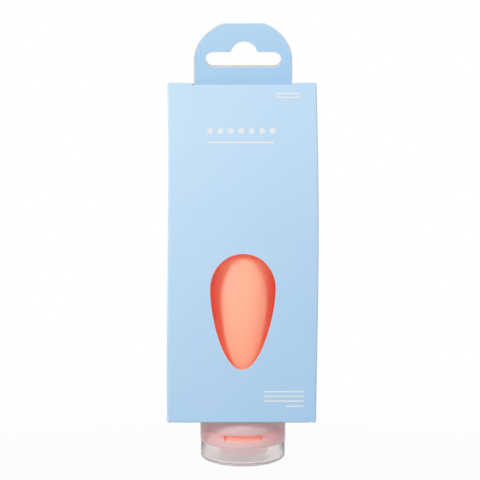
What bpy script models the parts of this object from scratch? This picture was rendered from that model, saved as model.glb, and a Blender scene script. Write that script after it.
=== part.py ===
"""A squeeze bottle standing cap down in its hanging board carton.

Units are metres and +Z is up. The origin is on the bottle's axis, in the flat face of the closed lid
that the whole product stands on. The carton's window faces -Y, and its hang tab is on top.
"""

import math

import bmesh
import bpy
from mathutils import Matrix, Vector

# Clearances
FIT_GAP = 0.0003
RUN_GAP = 0.0004

# Flip lid
LID_HEIGHT = 0.0080
LID_INSET = 0.0002
LID_WALL = 0.0013
LID_FLOOR = 0.0013
LID_EDGE_RADIUS = 0.0012
PLUG_DEPTH = 0.0018
PLUG_GAP = 0.0005
PLUG_TIP_CHAMFER = 0.0003

# Lid hinge at the back of the seam
HINGE_RADIUS = 0.0016
HINGE_DROP = 0.00015
TRUNNION_RADIUS = 0.0006
TRUNNION_LENGTH = 0.0020
KNUCKLE_HALF_WIDTH = 0.0030
EAR_WIDTH = 0.0030
EAR_END_WALL = 0.0006
BRIDGE_BITE = 0.0006

# Collar
COLLAR_RADIUS = 0.0191
COLLAR_WALL = 0.0011
COLLAR_HEIGHT = 0.0152
COLLAR_EDGE = 0.0003
GROOVE_RISE = 0.0056
GROOVE_HEIGHT = 0.0004
GROOVE_DEPTH = 0.0002
SIGHT_SLOT_WIDTH = 0.0160
SIGHT_SLOT_HEIGHT = 0.0022
SIGHT_SLOT_RISE = 0.0026

# Label ring
RING_WALL = 0.0006
RING_HEIGHT = 0.0058

# Cap base: sleeve, deck, pedestal and spout
SLEEVE_WALL = 0.0014
FLANGE_THICKNESS = 0.0010
DECK_THICKNESS = 0.0014
DECK_RIM_THICKNESS = 0.0007
PEDESTAL_RADIUS = 0.0118
PEDESTAL_TAPER = 0.0006
PEDESTAL_EDGE = 0.0006
PEDESTAL_WALL = 0.0014
PEDESTAL_CLEARANCE = 0.0019
NOZZLE_RADIUS = 0.0032
NOZZLE_CLEARANCE = 0.0011
SPOUT_RADIUS = 0.0018

# Thread between sleeve and neck
THREAD_PITCH = 0.0030
THREAD_RIDGE = 0.0008
THREAD_GAP = 0.0005
THREAD_LEAD = 0.0026
THREAD_TURNS = 1.5

# Slit valve
VALVE_THICKNESS = 0.0014
VALVE_SEAT_WIDTH = 0.0045
VALVE_DOME_DROP = 0.0012
VALVE_MEMBRANE = 0.0007
VALVE_SLIT_LENGTH = 0.0060
VALVE_SLIT_WIDTH = 0.0003
VALVE_BEND_SHARE = 0.6

# Bottle
BODY_SWELL = 0.0014
BODY_END_TAPER = 0.0027
BODY_LENGTH = 0.1382
BODY_WALL = 0.0026
BODY_END_ROUND = 0.0060
BODY_END_DIMPLE = 0.0015
SHOULDER_INSET = 0.0015
NECK_WALL = 0.0028
WIDEST_SHARE = 0.24
DIMPLE_SHARE = 0.62
DIMPLE_SLOPE_SHARE = 0.8
SHOULDER_POWER = 2.2
TAPER_POWER = 1.8

# Carton
BOARD = 0.0005
CARTON_WIDTH = 0.0634
CAP_SHOWN = 0.0198
CREASE_DROP = 0.0007
HEM_HEIGHT = 0.0080
HEM_END_GAP = 0.0010
GLUE_FLAP_WIDTH = 0.0120
GLUE_FLAP_TAPER = 0.0040
TONGUE_LENGTH = 0.0120
TONGUE_CORNER = 0.0060
TONGUE_SIDE_GAP = 0.0016
DUST_FLAP_LENGTH = 0.0215
DUST_FRONT_GAP = 0.0006
DUST_REAR_GAP = 0.0011
DUST_REAR_ANGLE = math.radians(15.0)

# Window
WINDOW_WIDTH = 0.02785
WINDOW_HEIGHT = 0.0491
WINDOW_CENTRE_SHARE = 0.674
WINDOW_WIDEST_SHARE = 0.302
ROUND_HANDLE_SHARE = 0.5523
FLANK_HANDLE_SHARE = 0.346
TIP_HANDLE_SHARE = 0.547

# Hang tab and its slot
TAB_SIDE_MARGIN = 0.00478
TAB_TOP_MARGIN = 0.0079
TAB_NOTCH = 0.0006
ARCH_RISE = 0.0170
ARCH_FLAT_DROP = 0.0014
SLOT_WIDTH = 0.0320
SLOT_HEIGHT = 0.0062
SLOT_RISE = 0.0076
HUMP_RADIUS = 0.0056
HUMP_RISE = 0.0043
HUMP_FILLET = 0.0010

# Facets
TURN_STEPS = 40
ARC_STEPS = 8
THREAD_POINTS_PER_TURN = 20
ROD_SIDES = 16

# Levels, from the standing face up
SEAM_TOP = LID_HEIGHT + FIT_GAP
COLLAR_TOP = SEAM_TOP + COLLAR_HEIGHT
DECK_FACE = SEAM_TOP + FIT_GAP
DECK_TOP = DECK_FACE + DECK_THICKNESS
VALVE_FACE = DECK_TOP + FIT_GAP
NECK_END = VALVE_FACE + VALVE_THICKNESS + FIT_GAP
PEDESTAL_END = LID_FLOOR + PEDESTAL_CLEARANCE
NOZZLE_END = LID_FLOOR + NOZZLE_CLEARANCE
THREAD_START = NECK_END + THREAD_LEAD
SHOULDER = COLLAR_TOP + FIT_GAP
BODY_END = SHOULDER + BODY_LENGTH
DUST_LEVEL = BODY_END + FIT_GAP + BOARD / 2
FLAP_LEVEL = DUST_LEVEL + BOARD + FIT_GAP
CARTON_TOP = FLAP_LEVEL + BOARD / 2
CARTON_HEIGHT = CARTON_TOP - CAP_SHOWN
TAB_CREASE = CARTON_TOP - CREASE_DROP

# Radii, from the collar inwards
LID_RADIUS = COLLAR_RADIUS - LID_INSET
LID_BORE = LID_RADIUS - LID_WALL
COLLAR_BORE = COLLAR_RADIUS - COLLAR_WALL
RING_RADIUS = COLLAR_BORE - FIT_GAP
RING_BORE = RING_RADIUS - RING_WALL
SLEEVE_RADIUS = RING_BORE - FIT_GAP
SLEEVE_BORE = SLEEVE_RADIUS - SLEEVE_WALL
NECK_RADIUS = SLEEVE_BORE - THREAD_RIDGE - THREAD_GAP
NECK_BORE = NECK_RADIUS - NECK_WALL
BODY_RADIUS = COLLAR_RADIUS + BODY_SWELL
BODY_END_RADIUS = BODY_RADIUS - BODY_END_TAPER
SHOULDER_RADIUS = COLLAR_RADIUS - SHOULDER_INSET

# Carton depth, from the bottle outwards: the hem passes the bottle, the panel backs the hem
HEM_FACE = BODY_RADIUS + RUN_GAP
PANEL_FACE = HEM_FACE + BOARD + FIT_GAP
PANEL_MIDDLE = PANEL_FACE + BOARD / 2
HALF_WIDTH = CARTON_WIDTH / 2
SIDE_FACE = HALF_WIDTH - BOARD
CRADLE_HALF_SPAN = SHOULDER_RADIUS + RUN_GAP

# Joint axes
LID_AXIS = Vector((0.0, COLLAR_RADIUS + FIT_GAP + HINGE_RADIUS, SEAM_TOP - HINGE_DROP))
HINGE_FLAT = HINGE_RADIUS * math.cos(math.pi / ROD_SIDES)
FLAP_AXIS = Vector((0.0, FIT_GAP + BOARD / 2 - HEM_FACE, FLAP_LEVEL))
DUST_AXIS_X = HALF_WIDTH - BOARD / 2
CRADLE_LEVEL = CAP_SHOWN + BOARD / 2

TONGUE_CREASE = PANEL_FACE - RUN_GAP - BOARD / 2
FLAP_LENGTH = TONGUE_CREASE - FLAP_AXIS.y
# The tongue leans in by this angle, so that its tip clears the back panel as the flap swings up.
TONGUE_LEAN = TONGUE_LENGTH / (2 * FLAP_LENGTH)

# A cut runs this far past the faces that it opens
OVERRUN = 0.0010

# Frames of flat boards: the outline's x and y, and the board's normal, in world axes
FACING_FRONT = Matrix(((1, 0, 0), (0, 0, -1), (0, 1, 0))).to_4x4()
FACING_RIGHT = Matrix(((0, 0, 1), (1, 0, 0), (0, 1, 0))).to_4x4()
FACING_UP = Matrix.Identity(4)


def clear_scene():
    """Remove every object of the scene that the file opens with."""
    for thing in list(bpy.data.objects):
        bpy.data.objects.remove(thing, do_unlink=True)


def new_collection(name):
    """Make a collection and link it to the scene."""
    collection = bpy.data.collections.new(name)
    bpy.context.scene.collection.children.link(collection)
    return collection


def finish(name, colour, roughness, transmission=0.0):
    """A Principled material; colour is linear RGB."""
    material = bpy.data.materials.new(name)
    material.use_nodes = True
    shader = material.node_tree.nodes["Principled BSDF"]
    shader.inputs["Base Color"].default_value = (*colour, 1.0)
    shader.inputs["Roughness"].default_value = roughness
    shader.inputs["Transmission Weight"].default_value = transmission
    material.diffuse_color = (*colour, 1.0)
    return material


def add_object(name, data, collection, material=None):
    """Link data to a collection as a new object."""
    thing = bpy.data.objects.new(name, data)
    collection.objects.link(thing)
    if material is not None:
        data.materials.append(material)
    return thing


def as_cutter(thing):
    """Keep a helper out of the finished part."""
    thing.hide_render = True
    thing.display_type = "WIRE"
    return thing


def pivot(name, place, collection):
    """An empty on a joint's axis, at a place in the world."""
    empty = add_object(name, None, collection)
    empty.location = place
    return empty


def attach(thing, parent):
    """Parent a thing and keep its place in the world."""
    bpy.context.view_layer.update()
    thing.parent = parent
    thing.matrix_parent_inverse = parent.matrix_world.inverted()


def arc(centre, radii, start, end, steps=ARC_STEPS):
    """Points on an ellipse about centre, from one angle to another, both ends included."""
    points = []
    for step in range(steps + 1):
        angle = start + (end - start) * step / steps
        points.append((centre[0] + radii[0] * math.cos(angle), centre[1] + radii[1] * math.sin(angle)))
    return points


def cubic(first, second, third, last, steps=ARC_STEPS):
    """Points along a cubic curve, without its first point."""
    points = []
    for step in range(1, steps + 1):
        share = step / steps
        rest = 1 - share
        points.append(
            tuple(
                rest**3 * a + 3 * rest**2 * share * b + 3 * rest * share**2 * c + share**3 * d
                for a, b, c, d in zip(first, second, third, last)
            )
        )
    return points


def mirrored(points):
    """The points with x turned round, in the order that continues an outline back across x = 0."""
    return [(-x, y) for x, y in reversed(points)]


def turned(name, profile, collection, material, closed=True, steps=TURN_STEPS):
    """Turn a profile of (radius, height) about Z. Its outer side runs down."""
    mesh = bpy.data.meshes.new(name)
    edges = [(index, index + 1) for index in range(len(profile) - 1)]
    if closed:
        edges.append((len(profile) - 1, 0))
    mesh.from_pydata([(radius, 0.0, height) for radius, height in profile], edges, [])
    thing = add_object(name, mesh, collection, material)
    screw = thing.modifiers.new("turn", "SCREW")
    screw.axis = "Z"
    screw.steps = steps
    screw.render_steps = steps
    screw.use_merge_vertices = True
    screw.merge_threshold = FIT_GAP / 30
    screw.use_smooth_shade = True
    return thing


def board(name, outlines, place, facing, collection, material, thickness=BOARD):
    """A flat piece of board: the first outline is its edge and the others are holes in it."""
    curve = bpy.data.curves.new(name, "CURVE")
    curve.dimensions = "2D"
    curve.fill_mode = "BOTH"
    curve.extrude = thickness / 2
    for outline in outlines:
        spline = curve.splines.new("POLY")
        spline.points.add(len(outline) - 1)
        for point, (x, y) in zip(spline.points, outline):
            point.co = (x, y, 0.0, 1.0)
        spline.use_cyclic_u = True
    thing = add_object(name, curve, collection, material)
    thing.matrix_world = Matrix.Translation(place) @ facing
    return thing


def rectangle(left, right, low, high):
    """The corners of a rectangle."""
    return [(left, low), (right, low), (right, high), (left, high)]


def block(name, low, high, collection):
    """A cube primitive between two corners, with its scale applied."""
    mesh = bpy.data.meshes.new(name)
    shape = bmesh.new()
    bmesh.ops.create_cube(shape, size=1.0)
    low, high = Vector(low), Vector(high)
    size = high - low
    bmesh.ops.transform(
        shape, matrix=Matrix.Translation((low + high) / 2) @ Matrix.Diagonal((*size, 1.0)), verts=shape.verts
    )
    shape.to_mesh(mesh)
    shape.free()
    return as_cutter(add_object(name, mesh, collection))


def rod(name, radius, ends, axis_place, collection):
    """A cylinder primitive along X between two x values, about an axis through a place."""
    mesh = bpy.data.meshes.new(name)
    shape = bmesh.new()
    left, right = ends
    bmesh.ops.create_cone(
        shape,
        cap_ends=True,
        segments=ROD_SIDES,
        radius1=radius,
        radius2=radius,
        depth=right - left,
        matrix=Matrix.Translation(((left + right) / 2, axis_place.y, axis_place.z))
        @ Matrix.Rotation(math.pi / 2, 4, "Y"),
    )
    shape.to_mesh(mesh)
    shape.free()
    return as_cutter(add_object(name, mesh, collection))


def ridge(name, radius, start_height, start_angle, collection):
    """A round ridge along a right-hand helix, as a closed mesh."""
    count = math.ceil(THREAD_TURNS * THREAD_POINTS_PER_TURN)
    curve = bpy.data.curves.new(name, "CURVE")
    curve.dimensions = "3D"
    curve.bevel_depth = THREAD_RIDGE
    curve.bevel_resolution = 1
    curve.use_fill_caps = True
    spline = curve.splines.new("POLY")
    spline.points.add(count)
    for index, point in enumerate(spline.points):
        turns = THREAD_TURNS * index / count
        angle = start_angle + 2 * math.pi * turns
        height = start_height + THREAD_PITCH * turns
        point.co = (radius * math.cos(angle), radius * math.sin(angle), height, 1.0)
    guide = add_object(name + "_guide", curve, collection)
    bpy.context.view_layer.update()
    evaluated = guide.evaluated_get(bpy.context.evaluated_depsgraph_get())
    mesh = bpy.data.meshes.new_from_object(evaluated)
    shape = bmesh.new()
    shape.from_mesh(mesh)
    bmesh.ops.remove_doubles(shape, verts=shape.verts, dist=FIT_GAP / 30)
    bmesh.ops.recalc_face_normals(shape, faces=shape.faces)
    shape.to_mesh(mesh)
    shape.free()
    bpy.data.objects.remove(guide, do_unlink=True)
    return as_cutter(add_object(name, mesh, collection))


def combine(thing, other, operation):
    """Add a Boolean modifier that joins or cuts with another object."""
    boolean = thing.modifiers.new(other.name, "BOOLEAN")
    boolean.operation = operation
    boolean.object = other
    boolean.solver = "EXACT"


def body_radius_at(height):
    """The bottle's outer radius at a height between its shoulder and the start of its end round."""
    widest = SHOULDER + WIDEST_SHARE * BODY_LENGTH
    if height < widest:
        share = (widest - height) / (widest - SHOULDER)
        return BODY_RADIUS - (BODY_RADIUS - SHOULDER_RADIUS) * share**SHOULDER_POWER
    share = (height - widest) / (BODY_END - BODY_END_ROUND - widest)
    return BODY_RADIUS - BODY_END_TAPER * share**TAPER_POWER


def body_side(low, high, steps):
    """(radius, height) points down the bottle's side from high to low."""
    heights = [high + (low - high) * step / steps for step in range(steps + 1)]
    return [(body_radius_at(height), height) for height in heights]


def make_bottle(parts, cutters, finishes):
    """The silicone shell, hollow and open at its threaded neck."""
    dimple_radius = DIMPLE_SHARE * BODY_END_RADIUS
    round_centre = (BODY_END_RADIUS - BODY_END_ROUND, BODY_END - BODY_END_ROUND)
    outside = [
        (0.0, BODY_END - BODY_END_DIMPLE),
        (dimple_radius / 2, BODY_END - DIMPLE_SLOPE_SHARE * BODY_END_DIMPLE),
        (dimple_radius, BODY_END),
    ]
    outside += arc(round_centre, (BODY_END_ROUND, BODY_END_ROUND), math.pi / 2, 0.0, 5)
    outside += body_side(SHOULDER + BODY_WALL, BODY_END - BODY_END_ROUND, 9)[1:]
    outside += [(body_radius_at(SHOULDER + BODY_WALL / 3), SHOULDER + BODY_WALL / 3)]
    outside += [(SHOULDER_RADIUS - BODY_WALL / 3, SHOULDER), (NECK_RADIUS, SHOULDER)]
    outside += [(NECK_RADIUS, NECK_END)]
    inside = [(NECK_BORE, NECK_END), (NECK_BORE, SHOULDER + BODY_WALL)]
    rising = reversed(body_side(SHOULDER + 2 * BODY_WALL, BODY_END - BODY_END_ROUND, 8))
    inside += [(radius - BODY_WALL, height) for radius, height in rising]
    inner_end = BODY_END - BODY_END_DIMPLE - BODY_WALL
    inner_round = BODY_END_ROUND - BODY_WALL
    inside += [(BODY_END_RADIUS - BODY_WALL - inner_round / 3, inner_end - inner_round / 3)]
    inside += [(BODY_END_RADIUS - BODY_WALL - inner_round, inner_end), (0.0, inner_end)]
    bottle = turned("bottle_body", outside + inside, parts, finishes["silicone"], closed=False)
    thread = ridge("neck_ridge", NECK_RADIUS, THREAD_START, 0.0, cutters)
    combine(bottle, thread, "UNION")
    return bottle


def make_valve(parts, cutters, finishes):
    """The silicone disc that stays shut until the bottle is squeezed."""
    radius = SLEEVE_BORE - THREAD_RIDGE - RUN_GAP
    inner = radius - VALVE_SEAT_WIDTH
    top = VALVE_FACE + VALVE_THICKNESS
    dome = top - (VALVE_MEMBRANE + VALVE_DOME_DROP) / 2
    bend = inner * VALVE_BEND_SHARE
    bend_height = dome + VALVE_DOME_DROP / 4
    profile = [
        (0.0, dome),
        (bend, bend_height),
        (inner, top),
        (radius, top),
        (radius, VALVE_FACE),
        (inner, VALVE_FACE),
        (bend, bend_height - VALVE_MEMBRANE),
        (0.0, dome - VALVE_MEMBRANE),
    ]
    valve = turned("drip_valve", profile, parts, finishes["silicone"], closed=False, steps=32)
    half, thin = VALVE_SLIT_LENGTH / 2, VALVE_SLIT_WIDTH / 2
    low, high = VALVE_FACE - OVERRUN, top + OVERRUN
    for name, span in (("slit_x", (half, thin)), ("slit_y", (thin, half))):
        slit = block(name, (-span[0], -span[1], low), (span[0], span[1], high), cutters)
        combine(valve, slit, "DIFFERENCE")
    return valve


def make_cap_base(parts, cutters, finishes):
    """The sleeve that screws on the neck, the deck, the raised pedestal and the spout."""
    pedestal_tip = PEDESTAL_RADIUS - PEDESTAL_TAPER
    hollow = pedestal_tip - PEDESTAL_WALL
    ceiling = PEDESTAL_END + PEDESTAL_WALL
    profile = [
        (COLLAR_BORE - FIT_GAP, COLLAR_TOP - FIT_GAP),
        (COLLAR_BORE - FIT_GAP, COLLAR_TOP - FIT_GAP - FLANGE_THICKNESS),
        (SLEEVE_RADIUS, COLLAR_TOP - FIT_GAP - FLANGE_THICKNESS),
        (SLEEVE_RADIUS, DECK_FACE + DECK_RIM_THICKNESS),
        (COLLAR_BORE - FIT_GAP, DECK_FACE + DECK_RIM_THICKNESS),
        (COLLAR_BORE - FIT_GAP, DECK_FACE),
        (PEDESTAL_RADIUS, DECK_FACE),
        (pedestal_tip, PEDESTAL_END + PEDESTAL_EDGE),
        (pedestal_tip - PEDESTAL_EDGE, PEDESTAL_END),
        (NOZZLE_RADIUS, PEDESTAL_END),
        (NOZZLE_RADIUS - (PEDESTAL_END - NOZZLE_END) / 2, NOZZLE_END),
        (SPOUT_RADIUS, NOZZLE_END),
        (SPOUT_RADIUS, ceiling),
        (hollow - PEDESTAL_EDGE, ceiling),
        (hollow, ceiling + PEDESTAL_EDGE),
        (hollow, DECK_TOP),
        (SLEEVE_BORE, DECK_TOP),
        (SLEEVE_BORE, COLLAR_TOP - FIT_GAP),
    ]
    base = turned("cap_base", profile, parts, finishes["frosted"])
    thread = ridge("sleeve_ridge", SLEEVE_BORE, THREAD_START, math.pi, cutters)
    combine(base, thread, "UNION")
    return base


def make_collar(parts, cutters, finishes):
    """The frosted outer collar, with its sight slot in front and the hinge ears at the back."""
    groove = SEAM_TOP + GROOVE_RISE
    profile = [
        (COLLAR_BORE, COLLAR_TOP),
        (COLLAR_RADIUS - COLLAR_EDGE, COLLAR_TOP),
        (COLLAR_RADIUS, COLLAR_TOP - COLLAR_EDGE),
        (COLLAR_RADIUS, groove + GROOVE_HEIGHT / 2),
        (COLLAR_RADIUS - GROOVE_DEPTH, groove),
        (COLLAR_RADIUS, groove - GROOVE_HEIGHT / 2),
        (COLLAR_RADIUS, SEAM_TOP + COLLAR_EDGE),
        (COLLAR_RADIUS - COLLAR_EDGE, SEAM_TOP),
        (COLLAR_BORE, SEAM_TOP),
    ]
    collar = turned("collar_shell", profile, parts, finishes["frosted"], steps=48)
    slot_low = SEAM_TOP + SIGHT_SLOT_RISE
    half = SIGHT_SLOT_WIDTH / 2
    depth = math.sqrt(COLLAR_BORE**2 - half**2)
    slot = block(
        "sight_slot",
        (-half, -COLLAR_RADIUS - OVERRUN, slot_low),
        (half, -depth + OVERRUN, slot_low + SIGHT_SLOT_HEIGHT),
        cutters,
    )
    soften = slot.modifiers.new("round", "BEVEL")
    soften.width = SIGHT_SLOT_HEIGHT / 3
    soften.segments = 3
    soften.limit_method = "NONE"
    combine(collar, slot, "DIFFERENCE")
    near = KNUCKLE_HALF_WIDTH + FIT_GAP
    far = near + EAR_WIDTH
    bore_end = far - EAR_END_WALL
    for side, sign in (("left", -1), ("right", 1)):
        ends = sorted((sign * near, sign * far))
        ear = rod("ear_" + side, HINGE_RADIUS, ends, LID_AXIS, cutters)
        bridge = block(
            "ear_bridge_" + side,
            (ends[0], COLLAR_RADIUS - BRIDGE_BITE - FIT_GAP, SEAM_TOP),
            (ends[1], LID_AXIS.y, LID_AXIS.z + HINGE_FLAT),
            cutters,
        )
        combine(ear, bridge, "UNION")
        combine(collar, ear, "UNION")
    bore = rod("ear_bore", TRUNNION_RADIUS + FIT_GAP, (-bore_end, bore_end), LID_AXIS, cutters)
    combine(collar, bore, "DIFFERENCE")
    return collar


def make_label_ring(parts, finishes):
    """The coral ring that turns inside the collar and shows through its sight slot."""
    low = DECK_FACE + DECK_RIM_THICKNESS + FIT_GAP
    high = low + RING_HEIGHT
    profile = [(RING_BORE, high), (RING_RADIUS, high), (RING_RADIUS, low), (RING_BORE, low)]
    return turned("label_ring", profile, parts, finishes["coral"])


def make_lid(parts, cutters, finishes):
    """The clear flip lid, with the plug pin inside and the knuckle and trunnions at the back."""
    plug = SPOUT_RADIUS - PLUG_GAP
    plug_end = NOZZLE_END + PLUG_DEPTH
    profile = [
        (0.0, plug_end),
        (plug - PLUG_TIP_CHAMFER, plug_end),
        (plug, plug_end - PLUG_TIP_CHAMFER),
        (plug, LID_FLOOR),
        (LID_BORE - LID_FLOOR / 2, LID_FLOOR),
        (LID_BORE, LID_FLOOR + LID_FLOOR / 2),
        (LID_BORE, LID_HEIGHT),
        (LID_RADIUS, LID_HEIGHT),
    ]
    edge_centre = (LID_RADIUS - LID_EDGE_RADIUS, LID_EDGE_RADIUS)
    profile += arc(edge_centre, (LID_EDGE_RADIUS, LID_EDGE_RADIUS), 0.0, -math.pi / 2, 4)
    profile += [(0.0, 0.0)]
    lid = turned("flip_lid", profile, parts, finishes["clear"], closed=False, steps=48)
    half = KNUCKLE_HALF_WIDTH
    knuckle = rod("lid_knuckle", HINGE_RADIUS, (-half, half), LID_AXIS, cutters)
    bridge = block(
        "lid_bridge",
        (-half, LID_RADIUS - BRIDGE_BITE - FIT_GAP, LID_AXIS.z - HINGE_FLAT),
        (half, LID_AXIS.y, LID_HEIGHT),
        cutters,
    )
    reach = half + FIT_GAP + TRUNNION_LENGTH
    trunnions = rod("lid_trunnions", TRUNNION_RADIUS, (-reach, reach), LID_AXIS, cutters)
    combine(knuckle, bridge, "UNION")
    combine(knuckle, trunnions, "UNION")
    combine(lid, knuckle, "UNION")
    return lid


def window_outline(centre_height):
    """The teardrop window: round above its widest line, long flanks to a blunt tip below."""
    half = WINDOW_WIDTH / 2
    top = centre_height + WINDOW_HEIGHT / 2
    tip = centre_height - WINDOW_HEIGHT / 2
    widest = top - WINDOW_WIDEST_SHARE * WINDOW_HEIGHT
    rise, fall = top - widest, widest - tip
    right = cubic(
        (0.0, top),
        (ROUND_HANDLE_SHARE * half, top),
        (half, widest + ROUND_HANDLE_SHARE * rise),
        (half, widest),
    )
    right += cubic(
        (half, widest),
        (half, widest - FLANK_HANDLE_SHARE * fall),
        (TIP_HANDLE_SHARE * half, tip),
        (0.0, tip),
        ARC_STEPS + 2,
    )
    return right + mirrored(right[:-1]) + [(0.0, top)]


def tab_half_width():
    """Half the hang tab's width."""
    return SLOT_WIDTH / 2 + TAB_SIDE_MARGIN


def tab_outline(foot):
    """The hang tab: straight sides and an arch cut flat at the top fold."""
    half = tab_half_width()
    fold = TAB_CREASE + SLOT_RISE + SLOT_HEIGHT + HUMP_RISE + TAB_TOP_MARGIN
    spring = fold + ARCH_FLAT_DROP - ARCH_RISE
    flat_angle = math.asin(1 - ARCH_FLAT_DROP / ARCH_RISE)
    right = [(half, foot)] + arc((0.0, spring), (half, ARCH_RISE), 0.0, flat_angle)
    return right + mirrored(right)


def slot_outline():
    """The euro slot: a long slot with round ends and a round hump in the middle of its top."""
    low = TAB_CREASE + SLOT_RISE
    high = low + SLOT_HEIGHT
    end_radius = SLOT_HEIGHT / 2
    end_centre = (SLOT_WIDTH / 2 - end_radius, low + end_radius)
    hump_centre = high + HUMP_RISE - HUMP_RADIUS
    fillet_level = high + HUMP_FILLET
    reach = HUMP_RADIUS + HUMP_FILLET
    fillet_x = math.sqrt(reach**2 - (fillet_level - hump_centre) ** 2)
    meet = math.atan2(fillet_level - hump_centre, fillet_x)
    right = arc(end_centre, (end_radius, end_radius), -math.pi / 2, math.pi / 2, 8)
    right += arc((fillet_x, fillet_level), (HUMP_FILLET, HUMP_FILLET), -math.pi / 2, meet - math.pi, 3)
    right += arc((0.0, hump_centre), (HUMP_RADIUS, HUMP_RADIUS), meet, math.pi / 2, 6)
    return right + mirrored(right[:-1])


def make_panels(parts, finishes):
    """The four walls of the carton, the glue flap and the two folded hems."""
    card = finishes["card"]
    high, low = CARTON_TOP, CAP_SHOWN
    inner_high = CARTON_TOP - CREASE_DROP
    cut = tab_half_width() + TAB_NOTCH
    front = [(-HALF_WIDTH, low), (HALF_WIDTH, low), (HALF_WIDTH, high), (cut, high)]
    front += [(cut, inner_high), (-cut, inner_high), (-cut, high), (-HALF_WIDTH, high)]
    window = window_outline(high - WINDOW_CENTRE_SHARE * CARTON_HEIGHT)
    board("front_panel", [front, window], (0.0, -PANEL_MIDDLE, 0.0), FACING_FRONT, parts, card)
    back = rectangle(-HALF_WIDTH, HALF_WIDTH, low, high)
    board("back_panel", [back], (0.0, PANEL_MIDDLE, 0.0), FACING_FRONT, parts, card)

    reach = PANEL_FACE - FIT_GAP
    wall = rectangle(-reach, reach, low + BOARD + FIT_GAP, DUST_LEVEL - BOARD / 2 - FIT_GAP)
    board("left_side_panel", [wall], (-DUST_AXIS_X, 0.0, 0.0), FACING_RIGHT, parts, card)
    board("right_side_panel", [wall], (DUST_AXIS_X, 0.0, 0.0), FACING_RIGHT, parts, card)

    layer = HEM_FACE + BOARD / 2
    flap_edge = -(SIDE_FACE - FIT_GAP)
    flap_low = low + HEM_HEIGHT + HEM_END_GAP
    flap_high = FLAP_LEVEL - TONGUE_LENGTH - HEM_END_GAP
    flap = [
        (flap_edge, flap_low),
        (flap_edge + GLUE_FLAP_WIDTH, flap_low + GLUE_FLAP_TAPER),
        (flap_edge + GLUE_FLAP_WIDTH, flap_high - GLUE_FLAP_TAPER),
        (flap_edge, flap_high),
    ]
    board("glue_flap", [flap], (0.0, layer, 0.0), FACING_FRONT, parts, card)
    hem_end = SIDE_FACE - HEM_END_GAP
    hem = rectangle(-hem_end, hem_end, low, low + HEM_HEIGHT)
    board("front_hem", [hem], (0.0, -layer, 0.0), FACING_FRONT, parts, card)
    board("back_hem", [hem], (0.0, layer, 0.0), FACING_FRONT, parts, card)


def make_hang_tab(parts, finishes):
    """The two layers of the hang tab, folded over at the top."""
    slot = slot_outline()
    front = tab_outline(TAB_CREASE + FIT_GAP)
    board("hang_tab_front", [front, slot], (0.0, -PANEL_MIDDLE, 0.0), FACING_FRONT, parts, finishes["card"])
    rear = tab_outline(FLAP_LEVEL - BOARD / 2)
    place = (0.0, -HEM_FACE - BOARD / 2, 0.0)
    board("hang_tab_rear", [rear, slot], place, FACING_FRONT, parts, finishes["card"])


def make_top(parts, pivots, finishes):
    """The top flap with its tongue, and the two dust flaps under it."""
    card = finishes["card"]
    hinge = pivot("top_flap_axis", FLAP_AXIS, pivots)
    ear = tab_half_width() + FIT_GAP
    root = -BOARD / 2
    ear_front = -PANEL_FACE + FIT_GAP - FLAP_AXIS.y
    tail = FLAP_LENGTH + BOARD / 2
    right = [(ear, root), (ear, ear_front), (HALF_WIDTH, ear_front), (HALF_WIDTH, tail)]
    flap = board("top_flap", [right + mirrored(right)], FLAP_AXIS, FACING_UP, parts, card)
    attach(flap, hinge)

    half = SIDE_FACE - TONGUE_SIDE_GAP
    start = BOARD / 2 + FIT_GAP
    right = [(half - TONGUE_CORNER, -TONGUE_LENGTH), (half, -TONGUE_LENGTH + TONGUE_CORNER), (half, -start)]
    place = FLAP_AXIS + Vector((0.0, FLAP_LENGTH, 0.0))
    lean = Matrix.Rotation(-TONGUE_LEAN, 4, "X") @ FACING_FRONT
    tongue = board("tuck_tongue", [right + mirrored(right)], place, lean, parts, card)
    attach(tongue, hinge)

    front_start = FLAP_AXIS.y + DUST_FRONT_GAP
    rear_start = TONGUE_CREASE - DUST_REAR_GAP
    fall = DUST_FLAP_LENGTH * math.tan(DUST_REAR_ANGLE)
    for side, sign in (("left", 1), ("right", -1)):
        place = Vector((-sign * DUST_AXIS_X, 0.0, DUST_LEVEL))
        outline = [
            (-sign * BOARD / 2, front_start),
            (0.0, front_start),
            (sign * DUST_FLAP_LENGTH, front_start + DUST_FLAP_LENGTH),
            (sign * DUST_FLAP_LENGTH, rear_start - fall),
            (0.0, rear_start),
            (-sign * BOARD / 2, rear_start),
        ]
        dust = board("dust_flap_" + side, [outline], place, FACING_UP, parts, card)
        attach(dust, pivot("dust_flap_" + side + "_axis", place, pivots))


def make_cradle(parts, pivots, finishes):
    """The two bottom flaps, whose round edges keep the bottle in the middle of the carton."""
    radius = BODY_RADIUS + RUN_GAP
    angle = math.asin(CRADLE_HALF_SPAN / radius)
    for side, sign in (("left", 1), ("right", -1)):
        place = Vector((-sign * DUST_AXIS_X, 0.0, CRADLE_LEVEL))
        rim = arc((0.0, 0.0), (radius, radius), math.pi + angle, math.pi - angle)
        edge = [(sign * (x + DUST_AXIS_X), y) for x, y in rim]
        outer = -sign * BOARD / 2
        outline = [(outer, -CRADLE_HALF_SPAN)] + edge + [(outer, CRADLE_HALF_SPAN)]
        flap = board("bottom_flap_" + side, [outline], place, FACING_UP, parts, finishes["card"])
        attach(flap, pivot("bottom_flap_" + side + "_axis", place, pivots))


def soften_shading():
    """Shade the turned pieces smooth but keep their real edges."""
    for name in ("bottle_body", "drip_valve", "cap_base", "collar_shell", "label_ring", "flip_lid"):
        thing = bpy.data.objects[name]
        thing.data.shade_smooth()


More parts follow.
